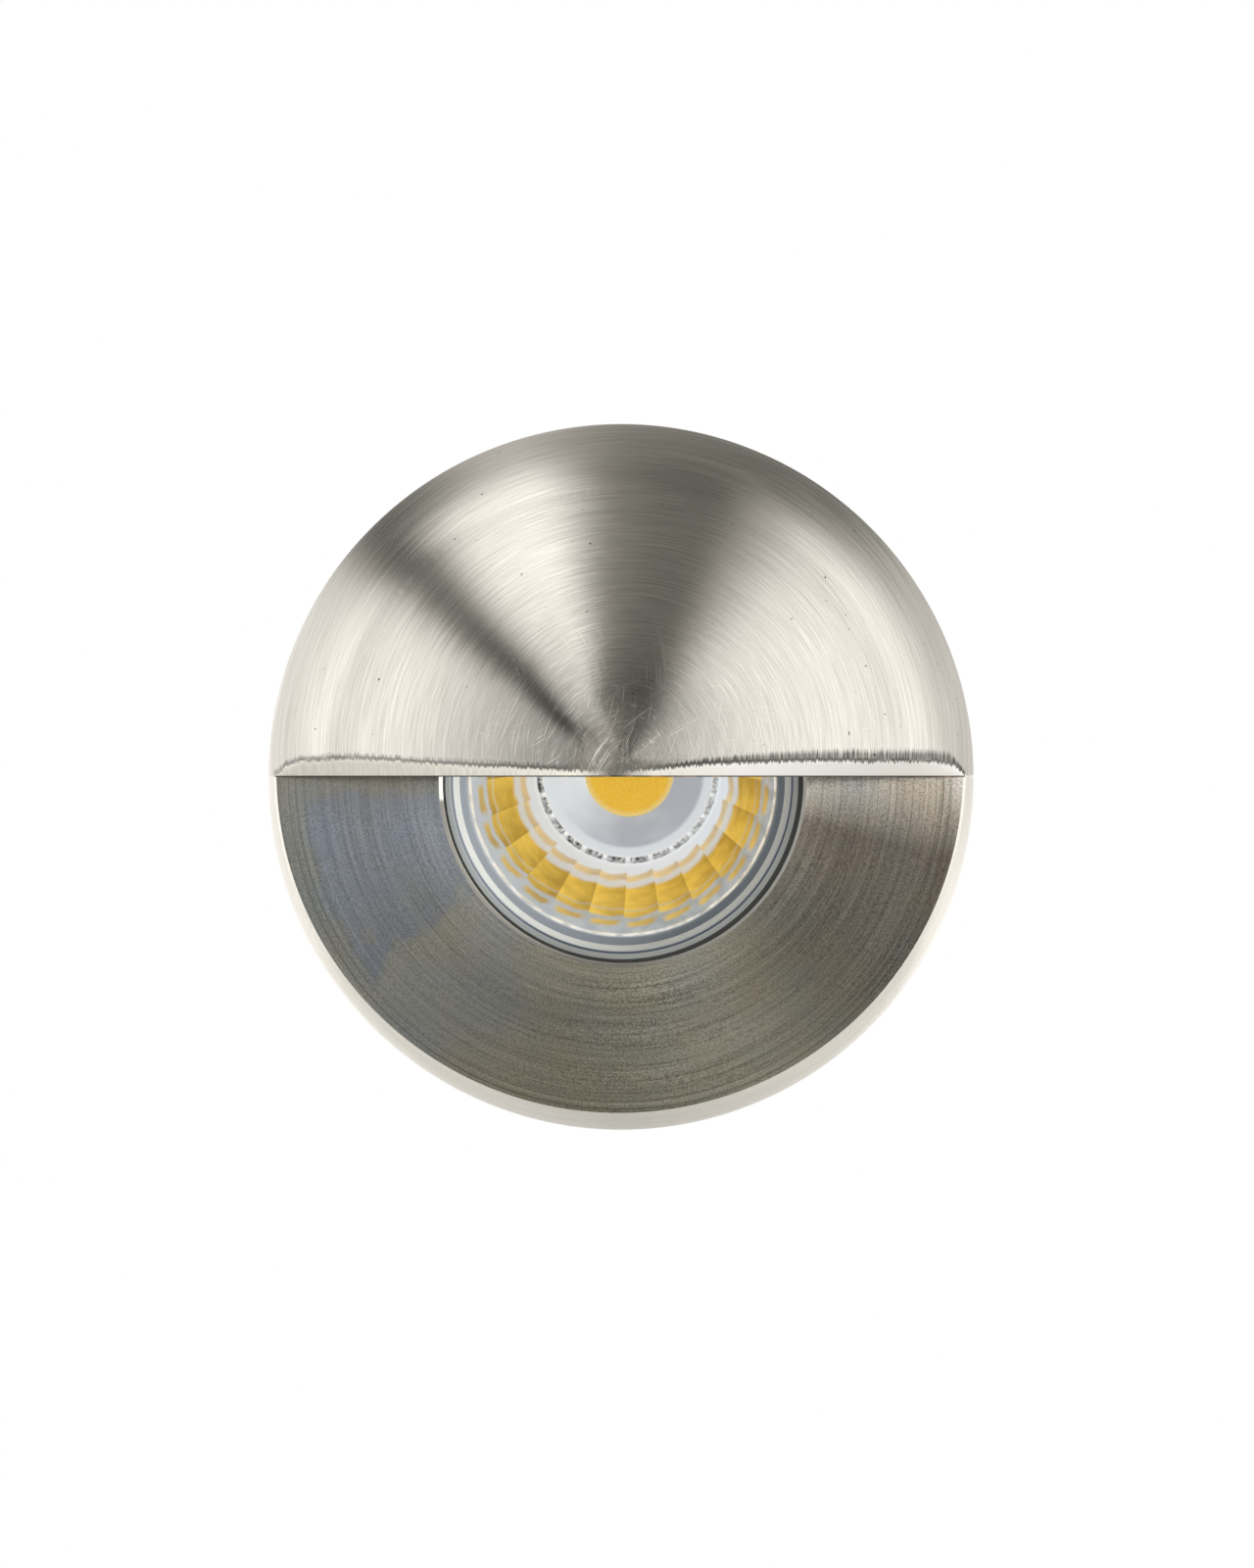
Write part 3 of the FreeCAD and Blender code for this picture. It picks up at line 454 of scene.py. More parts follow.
def dent(tree, height, strength, depth):
    return add_node(tree, "ShaderNodeBump", {"Height": height, "Strength": strength,
                                             "Distance": depth}).outputs[0]


def in_world(tree, vector):
    node = add_node(tree, "ShaderNodeVectorTransform", {0: vector}, vector_type="VECTOR",
                    convert_from="OBJECT", convert_to="WORLD")
    return node.outputs[0]


def steel(tree, colour, roughness, anisotropic, along, normal=None):
    inputs = {"Base Color": colour, "Metallic": 1.0, "Roughness": roughness,
              "Anisotropic": anisotropic, "Tangent": along}
    if normal is not None:
        inputs["Normal"] = normal
    return add_node(tree, "ShaderNodeBsdfPrincipled", inputs).outputs[0]


def painted_glow(tree, colour, glow, inputs):
    """A surface with a painted glow: it gives off a little of its own colour."""
    inputs = {"Base Color": colour, "Emission Color": colour, "Emission Strength": glow, **inputs}
    return add_node(tree, "ShaderNodeBsdfPrincipled", inputs).outputs[0]


def gain(tree, value, low, high):
    """Stretches a value so that low gives 0 and high gives 1, and keeps it between them."""
    return add_node(tree, "ShaderNodeMapRange", {0: value, 1: low, 2: high}).outputs[0]


def swayed(tree, outward, amount):
    """The outward direction turned a little to either side by an amount round zero."""
    sideways = vectors(tree, "CROSS_PRODUCT", outward, (0, 1, 0))
    return vectors(tree, "ADD", outward, vectors(tree, "SCALE", sideways, scale=amount))


def speckle(tree, place, spots, detail=2.0):
    noise = add_node(tree, "ShaderNodeTexNoise", {"Vector": place, "Scale": spots, "Detail": detail})
    return noise.outputs[0]


BRUSH_X, BRUSH_Z = TIP_X, OUTLINE_Z + TIP_Z
STEEL, DULL_STEEL, SCRATCH = (0.705, 0.685, 0.64), (0.49, 0.478, 0.438), (0.80, 0.775, 0.71)
# loose scratches run about two places and the tip: centre, and lines per metre
SCRATCHES = ((17 * mm, -9 * mm, 6500), (-15 * mm, 13 * mm, 7000), (BRUSH_X, BRUSH_Z, 4200))
FLAT_SPAN, FLAT_TOP = 48.0, 3.0       # in mm; the flats' ramps hold shares of these
CREASE_SHADE_SPAN, CREASE_SHADE_BELOW = 2.4, 0.4      # in mm, where the painted crease shade is widest

hood_finish = new_finish("brushed_hood")
tree = hood_finish.node_tree
place, distance, outward = centred(tree, BRUSH_X, BRUSH_Z)
out_x, _, out_z = parts_of(tree, outward)
fine = gain(tree, arcs(tree, distance, outward, 9000, 4.5, 1.0), 0.3, 0.7)
broad = gain(tree, arcs(tree, distance, outward, 5200, 3.0, 0.5), 0.28, 0.72)
streaks = mixed_value(tree, 0.25, fine, broad)
# the colour is darker towards the tip and again from the shoulder outwards, and darker still close to
# the tip on its left
near = ramp_over(tree, distance, 48 * mm, [
    (0.0, 0.60), (0.16, 0.68), (0.33, 0.87), (0.60, 0.99), (0.73, 0.94), (0.80, 0.83),
    (0.90, 0.85), (1.0, 0.9)])
left_darkening = ramp_over(tree, distance, 32 * mm, [
    (0.0, 0.45), (0.25, 0.50), (0.5, 0.62), (0.8, 0.85), (1.0, 1.0)])
leftward = gain(tree, out_x, -0.3, -0.85)
near = mixed_colour(tree, leftward, near, tinted(tree, near, left_darkening))
# close to the tip it is painted darker above and to the right, as shade
half_turn = times(tree, maths(tree, "ARCTAN2", out_z, out_x), 1 / math.pi)
tip_shade = ramp(tree, half_turn, [
    (0.0, 1.0), (0.13, 0.95), (0.20, 0.80), (0.27, 0.62), (0.33, 0.56), (0.40, 0.68),
    (0.47, 0.82), (0.55, 0.93), (0.62, 1.0)])
past_tip_shade = ramp_over(tree, distance, 16 * mm, [(0.0, 0.0), (0.5, 0.0), (1.0, 1.0)])
tip_shade = mixed_colour(tree, past_tip_shade, tip_shade, (1.0, 1.0, 1.0))
near = tinted(tree, near, tip_shade)
# loose scratches are thin bright arcs
loose = []
for x0, z0, lines in SCRATCHES:
    _, off, away = centred(tree, x0, z0)
    loose.append(gain(tree, arcs(tree, off, away, lines, 3.0, 0.5), 0.67, 0.75))
crossing = maths(tree, "MAXIMUM", maths(tree, "MAXIMUM", loose[0], loose[1]), loose[2])
crossing = times(tree, crossing, ramp_over(tree, distance, 32 * mm, [
    (0.0, 0.6), (0.2, 0.4), (0.5, 0.2), (1.0, 0.08)]))
colour = tinted(tree, mixed_colour(tree, streaks, DULL_STEEL, STEEL), near)
colour = mixed_colour(tree, crossing, colour, SCRATCH)
specks = gain(tree, speckle(tree, place, 1500, 1.0), 0.775, 0.80)
colour = mixed_colour(tree, specks, colour, (0.16, 0.14, 0.12))
# the brushing sways with its streaks, and is stirred about close to the tip
stir = about_zero(tree, gain(tree, speckle(tree, place, 1400), 0.3, 0.7))
stir = times(tree, stir, ramp_over(tree, distance, 10 * mm, [(0.0, 1.0), (0.6, 0.25), (1.0, 0.0)]))
sway = maths(tree, "MULTIPLY_ADD", about_zero(tree, streaks), 0.07, times(tree, stir, 0.6))
# near the tip, which is dented, the fans on its left swing round a little
swing = ramp_over(tree, distance, 40 * mm, [
    (0.0, 0.33), (0.2, 0.31), (0.30, 0.205), (0.43, 0.11), (0.60, 0.065), (0.78, 0.02), (1.0, 0.0)])
swing = times(tree, swing, gain(tree, out_x, 0.45, -0.35))
raised = mixed_value(tree, crossing, streaks, 1.6)
brushed_normal = add_node(tree, "ShaderNodeVectorRotate", {
    "Vector": dent(tree, raised, 0.28, 0.02 * mm), "Axis": in_world(tree, (0, 1, 0)),
    "Angle": swing}, rotation_type="AXIS_ANGLE").outputs[0]
brush_way = in_world(tree, swayed(tree, outward, maths(tree, "SUBTRACT", sway, swing)))
brushed = steel(tree, colour, 0.26, 1.0, brush_way, brushed_normal)
# at the very tip the brush marks cross one another
blunt_colour = mixed_colour(tree, streaks, (0.17, 0.162, 0.144), (0.335, 0.322, 0.29))
# the tip's crossed marks take the same painted shade
blunt_colour = mixed_colour(tree, crossing, tinted(tree, blunt_colour, tip_shade), SCRATCH)
blunt = add_node(tree, "ShaderNodeBsdfPrincipled", {
    "Base Color": blunt_colour, "Metallic": 1.0, "Roughness": 0.5,
    "Normal": dent(tree, streaks, 0.5, 0.03 * mm)}).outputs[0]
at_tip = ramp_over(tree, distance, 9 * mm, [(0.0, 0.95), (0.5, 0.85), (1.0, 0.0)])
at_tip = times(tree, at_tip, mixed_value(tree, leftward, 0.60, 1.0))
brushed = mixed_shader(tree, at_tip, brushed, blunt)
# the two flats end raggedly at the heights that they reach, and are brushed upright
x, _, z = parts_of(tree, place)
right = maths(tree, "GREATER_THAN", x, 0.0)
off_centre = maths(tree, "ABSOLUTE", x)
from_centre = times(tree, off_centre, 1 / (FLAT_SPAN * mm))
borders = [ramp(tree, from_centre, [(far / FLAT_SPAN, height / FLAT_TOP) for far, height in heights])
           for heights in FLAT_HEIGHTS]
above_cut = maths(tree, "MULTIPLY_ADD", z, 1 / mm, -OUTLINE_Z / mm)
above = maths(tree, "MULTIPLY_ADD", mixed_value(tree, right, *borders), -FLAT_TOP, above_cut)
upright = vectors(tree, "MULTIPLY", place, (5200, 200, 260))
strokes = gain(tree, speckle(tree, upright, 1.0, 3.0), 0.34, 0.66)
ragged = maths(tree, "MULTIPLY_ADD", about_zero(tree, strokes), 0.5, above)
on_flat = ramp(tree, maths(tree, "ADD", ragged, 0.5), [(0.40, 1.0), (0.65, 0.0)])
on_flat = times(tree, on_flat, gain(tree, off_centre, 0.5 * mm, 5 * mm))
flat_colour = mixed_colour(tree, strokes, (0.76, 0.725, 0.66), (0.91, 0.875, 0.80))
# the flats are painted lighter towards the right, as light falling on them
flat_colour = mixed_colour(tree, gain(tree, x, 4 * mm, 16 * mm), flat_colour, (1.0, 0.985, 0.955))
sideways = add_node(tree, "ShaderNodeCombineXYZ", {0: 1.0, 1: 0.0, 2: 0.0}).outputs[0]
# the flats have a painted glow
ground = painted_glow(tree, flat_colour, 0.11, {
    "Metallic": 0.1, "Roughness": 0.42, "Anisotropic": 0.8, "Tangent": in_world(tree, sideways),
    "Normal": dent(tree, strokes, 0.15, 0.02 * mm)})
steel_mix = mixed_shader(tree, on_flat, brushed, ground)
# a dark line of painted shade runs along the crease where the flats meet the cone, wider on the right
width = ramp(tree, from_centre, [
    (0.10, 0.35), (0.23, 0.5), (0.42, 0.8), (0.60, 0.95), (0.92, 1.0), (0.96, 0.4)])
width = mixed_value(tree, right, 0.5, width)
crease_shade = maths(tree, "DIVIDE", ragged, width)
crease_shade = maths(tree, "MULTIPLY_ADD", crease_shade, 1 / CREASE_SHADE_SPAN, CREASE_SHADE_BELOW / CREASE_SHADE_SPAN)
crease_shade = ramp(tree, crease_shade, [
    (0.06, 0.0), (0.167, 0.5), (0.25, 1.0), (0.58, 1.0), (0.75, 0.5), (0.92, 0.0)])
crease_shade = times(tree, crease_shade, mixed_value(
    tree, right, gain(tree, x, -1 * mm, -9 * mm), gain(tree, x, 3 * mm, 9 * mm)))
crease_shade = times(tree, crease_shade, mixed_value(
    tree, strokes, mixed_value(tree, right, 0.60, 0.97), mixed_value(tree, right, 0.05, 0.5)))
# the hood's lowest edge is a thin dark line of painted shade, rusty in places
hem_shade = ramp(tree, above_cut, [(0.10, 1.0), (0.22, 0.0)])
inside = maths(tree, "LESS_THAN", off_centre, corner_radius)
crease_shade = times(tree, maths(tree, "MAXIMUM", crease_shade, hem_shade), inside)
rust = times(tree, hem_shade, gain(tree, speckle(tree, place, 700, 1.0), 0.58, 0.64))
dark = add_node(tree, "ShaderNodeBsdfPrincipled", {
    "Base Color": mixed_colour(tree, rust, (0.024, 0.024, 0.022), (0.30, 0.16, 0.06)),
    "Specular IOR Level": 0.2, "Roughness": 0.5}).outputs[0]
hood_mix = mixed_shader(tree, times(tree, crease_shade, 0.96), steel_mix, dark)
add_node(tree, "ShaderNodeOutputMaterial", {0: hood_mix})

floor_finish = new_finish("turned_floor")
tree = floor_finish.node_tree
place, distance, outward = centred(tree, 0.0, OUTLINE_Z)
x, _, z = parts_of(tree, place)
cuts = gain(tree, arcs(tree, distance, outward, 7500, 2), 0.34, 0.66)
wide_cuts = gain(tree, arcs(tree, distance, outward, 2600, 1.5, 0.5), 0.3, 0.7)
cuts = mixed_value(tree, 0.45, cuts, wide_cuts)
# the tint turns from grey on the left through olive below to brown on the right, its own colour; its
# dark and bright turns, darkest just below the right end and brightest at it, are painted reflection
bearing = maths(tree, "ARCTAN2", maths(tree, "SUBTRACT", z, OUTLINE_Z), x)
round_floor = maths(tree, "MULTIPLY_ADD", bearing, 0.5 / math.pi, 0.5)
tint = ramp(tree, round_floor, [
    (0.0, (0.33, 0.335, 0.31)), (0.03, (0.27, 0.275, 0.25)), (0.07, (0.28, 0.286, 0.264)),
    (0.14, (0.385, 0.383, 0.353)), (0.19, (0.47, 0.455, 0.39)), (0.25, (0.43, 0.405, 0.315)),
    (0.30, (0.36, 0.345, 0.285)), (0.36, (0.30, 0.285, 0.235)), (0.41, (0.26, 0.235, 0.195)),
    (0.462, (0.20, 0.17, 0.138)), (0.482, (0.42, 0.39, 0.34)), (0.5, (0.62, 0.585, 0.53)),
    (0.75, (0.3, 0.3, 0.28)), (1.0, (0.35, 0.375, 0.40))])
# a bluish stain with ragged edges covers the left of it
blotch = about_zero(tree, speckle(tree, place, 170, 3.0))
blue_end = maths(tree, "MULTIPLY_ADD", blotch, 0.12, round_floor)
blue_end = ramp(tree, blue_end, [(0.092, 1.0), (0.110, 0.0)])
blue_out = maths(tree, "MULTIPLY_ADD", distance, 1 / (50 * mm), times(tree, blotch, 0.10))
blue_out = ramp(tree, blue_out, [(0.825, 1.0), (0.865, 0.0)])
blue_top = gain(tree, maths(tree, "MULTIPLY_ADD", blotch, 6 * mm, z), -1.2 * mm, -2.8 * mm)
blue = times(tree, times(tree, blue_end, blue_out), blue_top)
tint = mixed_colour(tree, blue, tint, (0.262, 0.286, 0.322))
# it is paler round the opening, over 8 mm from a radius of 24 mm
inner = maths(tree, "MULTIPLY_ADD", distance, 1 / (8 * mm), -24 / 8)
tint = tinted(tree, tint, ramp(tree, inner, [(0.0, 1.4), (1.0, 1.0)]))
mottle = gain(tree, speckle(tree, place, 75, 3.0), 0.35, 0.65)
mottle = mixed_colour(tree, mottle, (0.94, 0.99, 1.06), (1.06, 1.02, 0.95))
colour = tinted(tree, tint, mottle)
grit = gain(tree, speckle(tree, place, 4200, 1.0), 0.35, 0.65)
texture = mixed_value(tree, 0.4, cuts, grit)
texture_colour = mixed_colour(tree, texture, (0.40, 0.40, 0.40), (1.3, 1.3, 1.3))
colour = tinted(tree, colour, texture_colour)
# two dark turning lines run just inside the edge, within 4 mm from a radius of 42.5 mm
edge_lines = ramp(tree, maths(tree, "MULTIPLY_ADD", distance, 1 / (4 * mm), -42.5 / 4), [
    (0.0, 0.0), (0.20, 0.0), (0.24, 0.55), (0.28, 0.0), (0.44, 0.0), (0.48, 0.6), (0.52, 0.0)])
colour = mixed_colour(tree, edge_lines, colour, (0.12, 0.12, 0.11))
# a brown band lies along the cut, partly stain and partly painted shade under the hood, and fades out 7
# mm below it
stain_and_shade = ramp(tree, maths(tree, "MULTIPLY_ADD", z, -1 / (7 * mm), OUTLINE_Z / (7 * mm)), [
    (0.0, 0.75), (0.10, 0.35), (0.5, 0.18), (1.0, 0.0)])
stain_and_shade = times(tree, stain_and_shade, gain(tree, x, 30 * mm, -5 * mm))
colour = mixed_colour(tree, stain_and_shade, colour, (0.17, 0.15, 0.12))
# at the right end a painted highlight brightens it
bright_end_highlight = times(tree, gain(tree, x, 43.4 * mm, 46.2 * mm), gain(tree, z, -5 * mm, -0.5 * mm))
bright_end_highlight = times(tree, bright_end_highlight, mixed_value(tree, grit, 0.4, 1.0))
colour = mixed_colour(tree, bright_end_highlight, colour, (0.86, 0.84, 0.80))
sway = times(tree, about_zero(tree, texture), 0.35)
turned = steel(tree, colour, 0.34, 0.9, in_world(tree, swayed(tree, outward, sway)),
               dent(tree, texture, 0.4, 0.03 * mm))
add_node(tree, "ShaderNodeOutputMaterial", {0: turned})

rim_finish = new_finish("satin_rim")
tree = rim_finish.node_tree
place, distance, outward = centred(tree, 0.0, OUTLINE_Z)
cuts = gain(tree, arcs(tree, distance, outward, 3600, 3), 0.34, 0.66)
grit = gain(tree, speckle(tree, place, 5200, 1.0), 0.35, 0.65)
satin_grain = mixed_value(tree, 0.5, cuts, grit)
colour = mixed_colour(tree, satin_grain, (0.69, 0.675, 0.63), (0.80, 0.785, 0.735))
# it is painted paler along the diagonals, as reflection
out_x, _, out_z = parts_of(tree, outward)
diagonal_sheen = maths(tree, "ABSOLUTE", times(tree, times(tree, out_x, out_z), 2.0))
colour = tinted(tree, colour, mixed_value(tree, diagonal_sheen, 0.95, 1.22))
# the opening's edge has a painted glint on its left, just under the hood, given off as emission
x, _, z = parts_of(tree, place)
at_opening = maths(tree, "LESS_THAN", distance, 30 * mm)
painted_glint = times(tree, gain(tree, z, -2.6 * mm, -2.1 * mm), at_opening)
painted_glint = times(tree, painted_glint, maths(tree, "LESS_THAN", x, 0.0))
painted_glint = mixed_colour(tree, painted_glint, (0.0, 0.0, 0.0), (0.80, 0.77, 0.71))
satin = add_node(tree, "ShaderNodeBsdfPrincipled", {
    "Base Color": colour, "Metallic": 1.0, "Roughness": 0.42, "Anisotropic": 0.5,
    "Tangent": in_world(tree, outward), "Normal": dent(tree, cuts, 0.2, 0.02 * mm),
    "Emission Color": painted_glint, "Emission Strength": 1.0}).outputs[0]
add_node(tree, "ShaderNodeOutputMaterial", {0: satin})

back_finish = new_finish("turned_back")
tree = back_finish.node_tree
_, distance, outward = centred(tree)
cuts = arcs(tree, distance, outward, 2500, 2.0)
colour = mixed_colour(tree, cuts, (0.52, 0.50, 0.47), (0.66, 0.64, 0.61))
turned = steel(tree, colour, 0.36, 0.7, in_world(tree, outward), dent(tree, cuts, 0.3, 0.03 * mm))
add_node(tree, "ShaderNodeOutputMaterial", {0: turned})

face = new_piece("brushed_face", face_mesh)
for finish in (hood_finish, floor_finish, rim_finish, back_finish):
    face.data.materials.append(finish)
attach(face, "face")
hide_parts("eyelid_face")


# The lamp's visible front: a retaining ring, the lamp's pale rim that rolls in over the
# optic, the faceted optic, a white cup and the phosphor disc at its bottom. The optic and
# the cup lean a little off the lamp's axis towards their back.
FACETS = 24
# the section's sizes are in mm; the lean is that of the optic's back
LEAN_X, LEAN_Z, LEAN_LIMIT = 0.4, 1.4, 13.3
OPTIC_FRONT, OPTIC_BACK = 6.9, 14.9
FACETS_START, FACETS_RADIUS, FACETS_TAPER = 6.5, 20.9, 7
SERRATED_IN, SERRATED_OUT, SERRATION = 11.8, 12.2, 0.02
DISC_RADIUS, DISC_THICKNESS, DISC_MIDDLE = 6.1, 0.6, 20.6


def turned_piece(name, loop, steps=180, crease=30):
    """A closed ring from a loop of (radius, y, share of the lean) points in millimetres."""
    mesh = bmesh.new()
    loop = loop + loop[:1]

    def put(i, angle):
        r, y, lean = loop[i]
        x, z = r * math.cos(angle) + lean * LEAN_X, r * math.sin(angle) + lean * LEAN_Z
        inward = min(1.0, LEAN_LIMIT / math.hypot(x, z)) if lean and r < LEAN_LIMIT else 1.0
        return Vector((x * inward * mm, y * mm, z * inward * mm))

    swept(mesh, len(loop), steps, 0, 2 * math.pi, put)
    bmesh.ops.remove_doubles(mesh, verts=mesh.verts, dist=0.001 * mm)
    bmesh.ops.recalc_face_normals(mesh, faces=mesh.faces)
    return new_piece(name, mesh, crease)


ring_piece = turned_piece("lamp_retaining_ring", [
    (23.2, 4.9, 0), (23.2, 3.98, 0), (23.28, 3.80, 0), (23.45, 3.72, 0), (25.3, 3.72, 0),
    (25.5, 3.9, 0), (25.5, 4.9, 0)])
rim_piece = turned_piece("lamp_rim", [
    (22.02, 5.65, 0), (22.02, 5.3, 0), (22.12, 5.05, 0), (22.3, 4.92, 0), (22.65, 4.92, 0),
    (22.84, 5.1, 0), (22.9, 5.5, 0), (25.0, 5.5, 0), (25.0, 7.9, 0), (22.9, 7.9, 0),
    (22.9, 5.65, 0)])
optic_piece = turned_piece("faceted_optic", [
    (20.75, 6.15, 0.05), (20.95, 5.75, 0), (21.2, 5.7, 0), (21.9, 5.7, 0), (22.78, 5.72, 0),
    (22.78, 6.9, 0), (21.8, 6.9, 0), (13.6, 15.9, 0), (11.7, 15.9, 1), (11.95, 15.3, 1),
    (12.5, 15.0, 1), (12.6, 14.9, 1), (20.2, 7.3, 0.05), (20.6, 6.9, 0.05)], FACETS * 8, 5)
# the inside of the optic is straight between its 24 corners, and serrated at its back edge
for v in optic_piece.data.vertices:
    share = min(1.0, max(0.0, (v.co.y / mm - OPTIC_FRONT) / (OPTIC_BACK - OPTIC_FRONT)))
    x, z = v.co.x - share * LEAN_X * mm, v.co.z - share * LEAN_Z * mm
    r = math.hypot(x, z)
    corner_angle = math.atan2(z, x) % (2 * math.pi / FACETS) - math.pi / FACETS
    if v.co.y > FACETS_START * mm and r < (FACETS_RADIUS - share * FACETS_TAPER) * mm:
        chord = math.cos(math.pi / FACETS) / math.cos(corner_angle)
        if SERRATED_IN * mm < r < SERRATED_OUT * mm:
            chord *= 1 + SERRATION * math.cos(4 * FACETS * math.atan2(z, x))
        v.co.x += x * (chord - 1)
        v.co.z += z * (chord - 1)
cup_piece = turned_piece("reflector_cup", [
    (11.7, 15.92, 1), (11.3, 16.4, 1), (10.0, 17.5, 1), (8.3, 18.8, 1), (6.9, 19.8, 1),
    (6.12, 20.3, 1), (6.12, 20.9, 1), (13.6, 20.9, 0), (13.6, 15.92, 0)])
disc_mesh = bmesh.new()
bmesh.ops.create_cone(disc_mesh, cap_ends=True, segments=96, radius1=DISC_RADIUS * mm,
                      radius2=DISC_RADIUS * mm, depth=DISC_THICKNESS * mm)
bmesh.ops.rotate(disc_mesh, verts=disc_mesh.verts, cent=(0, 0, 0),
                 matrix=Matrix.Rotation(math.pi / 2, 3, "X"))
bmesh.ops.translate(disc_mesh, verts=disc_mesh.verts, vec=(LEAN_X * mm, DISC_MIDDLE * mm, LEAN_Z * mm))
disc_piece = new_piece("phosphor_disc", disc_mesh)


# the optic: a painted reflection of the phosphor as a yellow patch in each facet with clear grey arcs
# across it near either end, a back edge glittering with painted reflections, a painted white highlight
# round the corners and a slate flange in front
optic_finish = new_finish("optic_painted_reflections")
tree = optic_finish.node_tree
place = add_node(tree, "ShaderNodeTexCoord").outputs["Object"]
share = gain(tree, parts_of(tree, place)[1], OPTIC_FRONT * mm, OPTIC_BACK * mm)
place = vectors(tree, "ADD", place, vectors(tree, "SCALE", (-LEAN_X * mm, 0, -LEAN_Z * mm), scale=share))
x, _, z = parts_of(tree, place)
flat = add_node(tree, "ShaderNodeCombineXYZ", {0: x, 2: z}).outputs[0]
distance, outward = vectors(tree, "LENGTH", flat), vectors(tree, "NORMALIZE", flat)
reach = times(tree, distance, 1 / (24 * mm))
# where a point lies across its facet, and two chances that are each facet's own
facet_turn = maths(tree, "MULTIPLY_ADD", maths(tree, "ARCTAN2", z, x), FACETS / (2 * math.pi), 100)
across = maths(tree, "FRACT", facet_turn)
off_middle = about_zero(tree, across)
from_middle = maths(tree, "ABSOLUTE", off_middle)
facet = maths(tree, "FLOOR", facet_turn)
chance, other_chance = [
    add_node(tree, "ShaderNodeTexWhiteNoise", {"W": seed}, noise_dimensions="1D").outputs["Value"]
    for seed in (facet, maths(tree, "ADD", facet, 40.5))]
# each facet's patch is shifted, slanted and bowed a little
wobble = speckle(tree, place, 500)
shift = times(tree, about_zero(tree, wobble), 0.02)
shift = maths(tree, "MULTIPLY_ADD", about_zero(tree, chance), 0.014, shift)
slant = times(tree, off_middle, maths(tree, "MULTIPLY_ADD", other_chance, 0.016, 0.003))
slant = maths(tree, "ADD", slant, shift)
bowed = maths(tree, "ADD", reach, slant)
bowed = maths(tree, "MULTIPLY_ADD", times(tree, from_middle, from_middle), 0.02, bowed)
patch = ramp(tree, bowed, [
    (0.570, 0.0), (0.582, 0.65), (0.600, 0.70), (0.612, 0.15), (0.632, 0.12), (0.646, 1.0),
    (0.738, 1.0), (0.746, 0.55), (0.754, 1.0), (0.772, 0.95), (0.781, 0.1), (0.792, 0.1),
    (0.800, 0.85), (0.816, 0.85), (0.828, 0.0)])
ends = mixed_value(tree, gain(tree, reach, 0.77, 0.80), 1.0, gain(tree, from_middle, 0.46, 0.28))
patch = times(tree, patch, ends)
glints = gain(tree, arcs(tree, distance, outward, 1100, 7, 1.0), 0.3, 0.7)
# each facet's patch is painted darker across it from one side, as shade, with a brightness of its own
# and painted glints
tone = maths(tree, "MULTIPLY_ADD", across, -0.65, maths(tree, "MULTIPLY_ADD", chance, 0.35, 0.6))
tone = maths(tree, "MULTIPLY_ADD", about_zero(tree, glints), 0.4, tone, clamp=True)
yellow = mixed_colour(tree, tone, (0.50, 0.295, 0.025), (0.98, 0.64, 0.09))
# between the patches it is clear grey, painted paler on the left as light, and milky at the back
left_light = gain(tree, x, 8 * mm, -20 * mm)
clear_grey = mixed_colour(tree, gain(tree, wobble, 0.35, 0.65), (0.36, 0.38, 0.41), (0.50, 0.52, 0.55))
clear_grey = mixed_colour(tree, times(tree, left_light, 0.7), clear_grey, (0.74, 0.77, 0.84))
milky = ramp(tree, reach, [(0.58, 1.0), (0.64, 0.6), (0.72, 0.0)])
clear_grey = mixed_colour(tree, milky, clear_grey, (0.78, 0.81, 0.89))
colour = mixed_colour(tree, patch, clear_grey, yellow)
# the back edge glitters with painted reflections: dark dashes in the facets' middles, bright sparks at
# their corners
dash = gain(tree, arcs(tree, distance, outward, 2000, 22, 1.0), 0.78, 0.34)
dash = times(tree, gain(tree, from_middle, 0.42, 0.34), dash)
dash_band = ramp(tree, reach, [(0.484, 0.0), (0.488, 1.0), (0.516, 1.0), (0.523, 0.0)])
dash = times(tree, dash, dash_band)
dash = times(tree, dash, mixed_value(tree, gain(tree, x, 1 * mm, 9 * mm), 1.0, 0.6))
glitter_colour = mixed_colour(tree, dash, (0.90, 0.92, 0.97), (0.04, 0.045, 0.055))
colour = mixed_colour(tree, ramp(tree, reach, [(0.518, 1.0), (0.540, 0.0)]), colour, glitter_colour)
# a painted white highlight runs round the corners, and the flange in front of it is slate, painted paler
# on its left as light
white_highlight = maths(tree, "MULTIPLY_ADD", shift, 0.3, reach)
white_highlight = ramp(tree, white_highlight, [(0.852, 0.0), (0.860, 0.9), (0.868, 0.2)])
white_highlight = times(tree, white_highlight, gain(tree, wobble, 0.35, 0.55))
colour = mixed_colour(tree, white_highlight, colour, (1.0, 1.0, 1.0))
slate = mixed_colour(tree, left_light, (0.125, 0.14, 0.165), (0.42, 0.45, 0.51))
colour = mixed_colour(tree, ramp(tree, reach, [(0.868, 0.0), (0.874, 1.0)]), colour, slate)
# the optic has a painted glow
silver = painted_glow(tree, colour, 0.6, {
    "Metallic": 0.35, "Roughness": 0.18, "Coat Weight": 0.4, "Coat Roughness": 0.04})
add_node(tree, "ShaderNodeOutputMaterial", {0: silver})

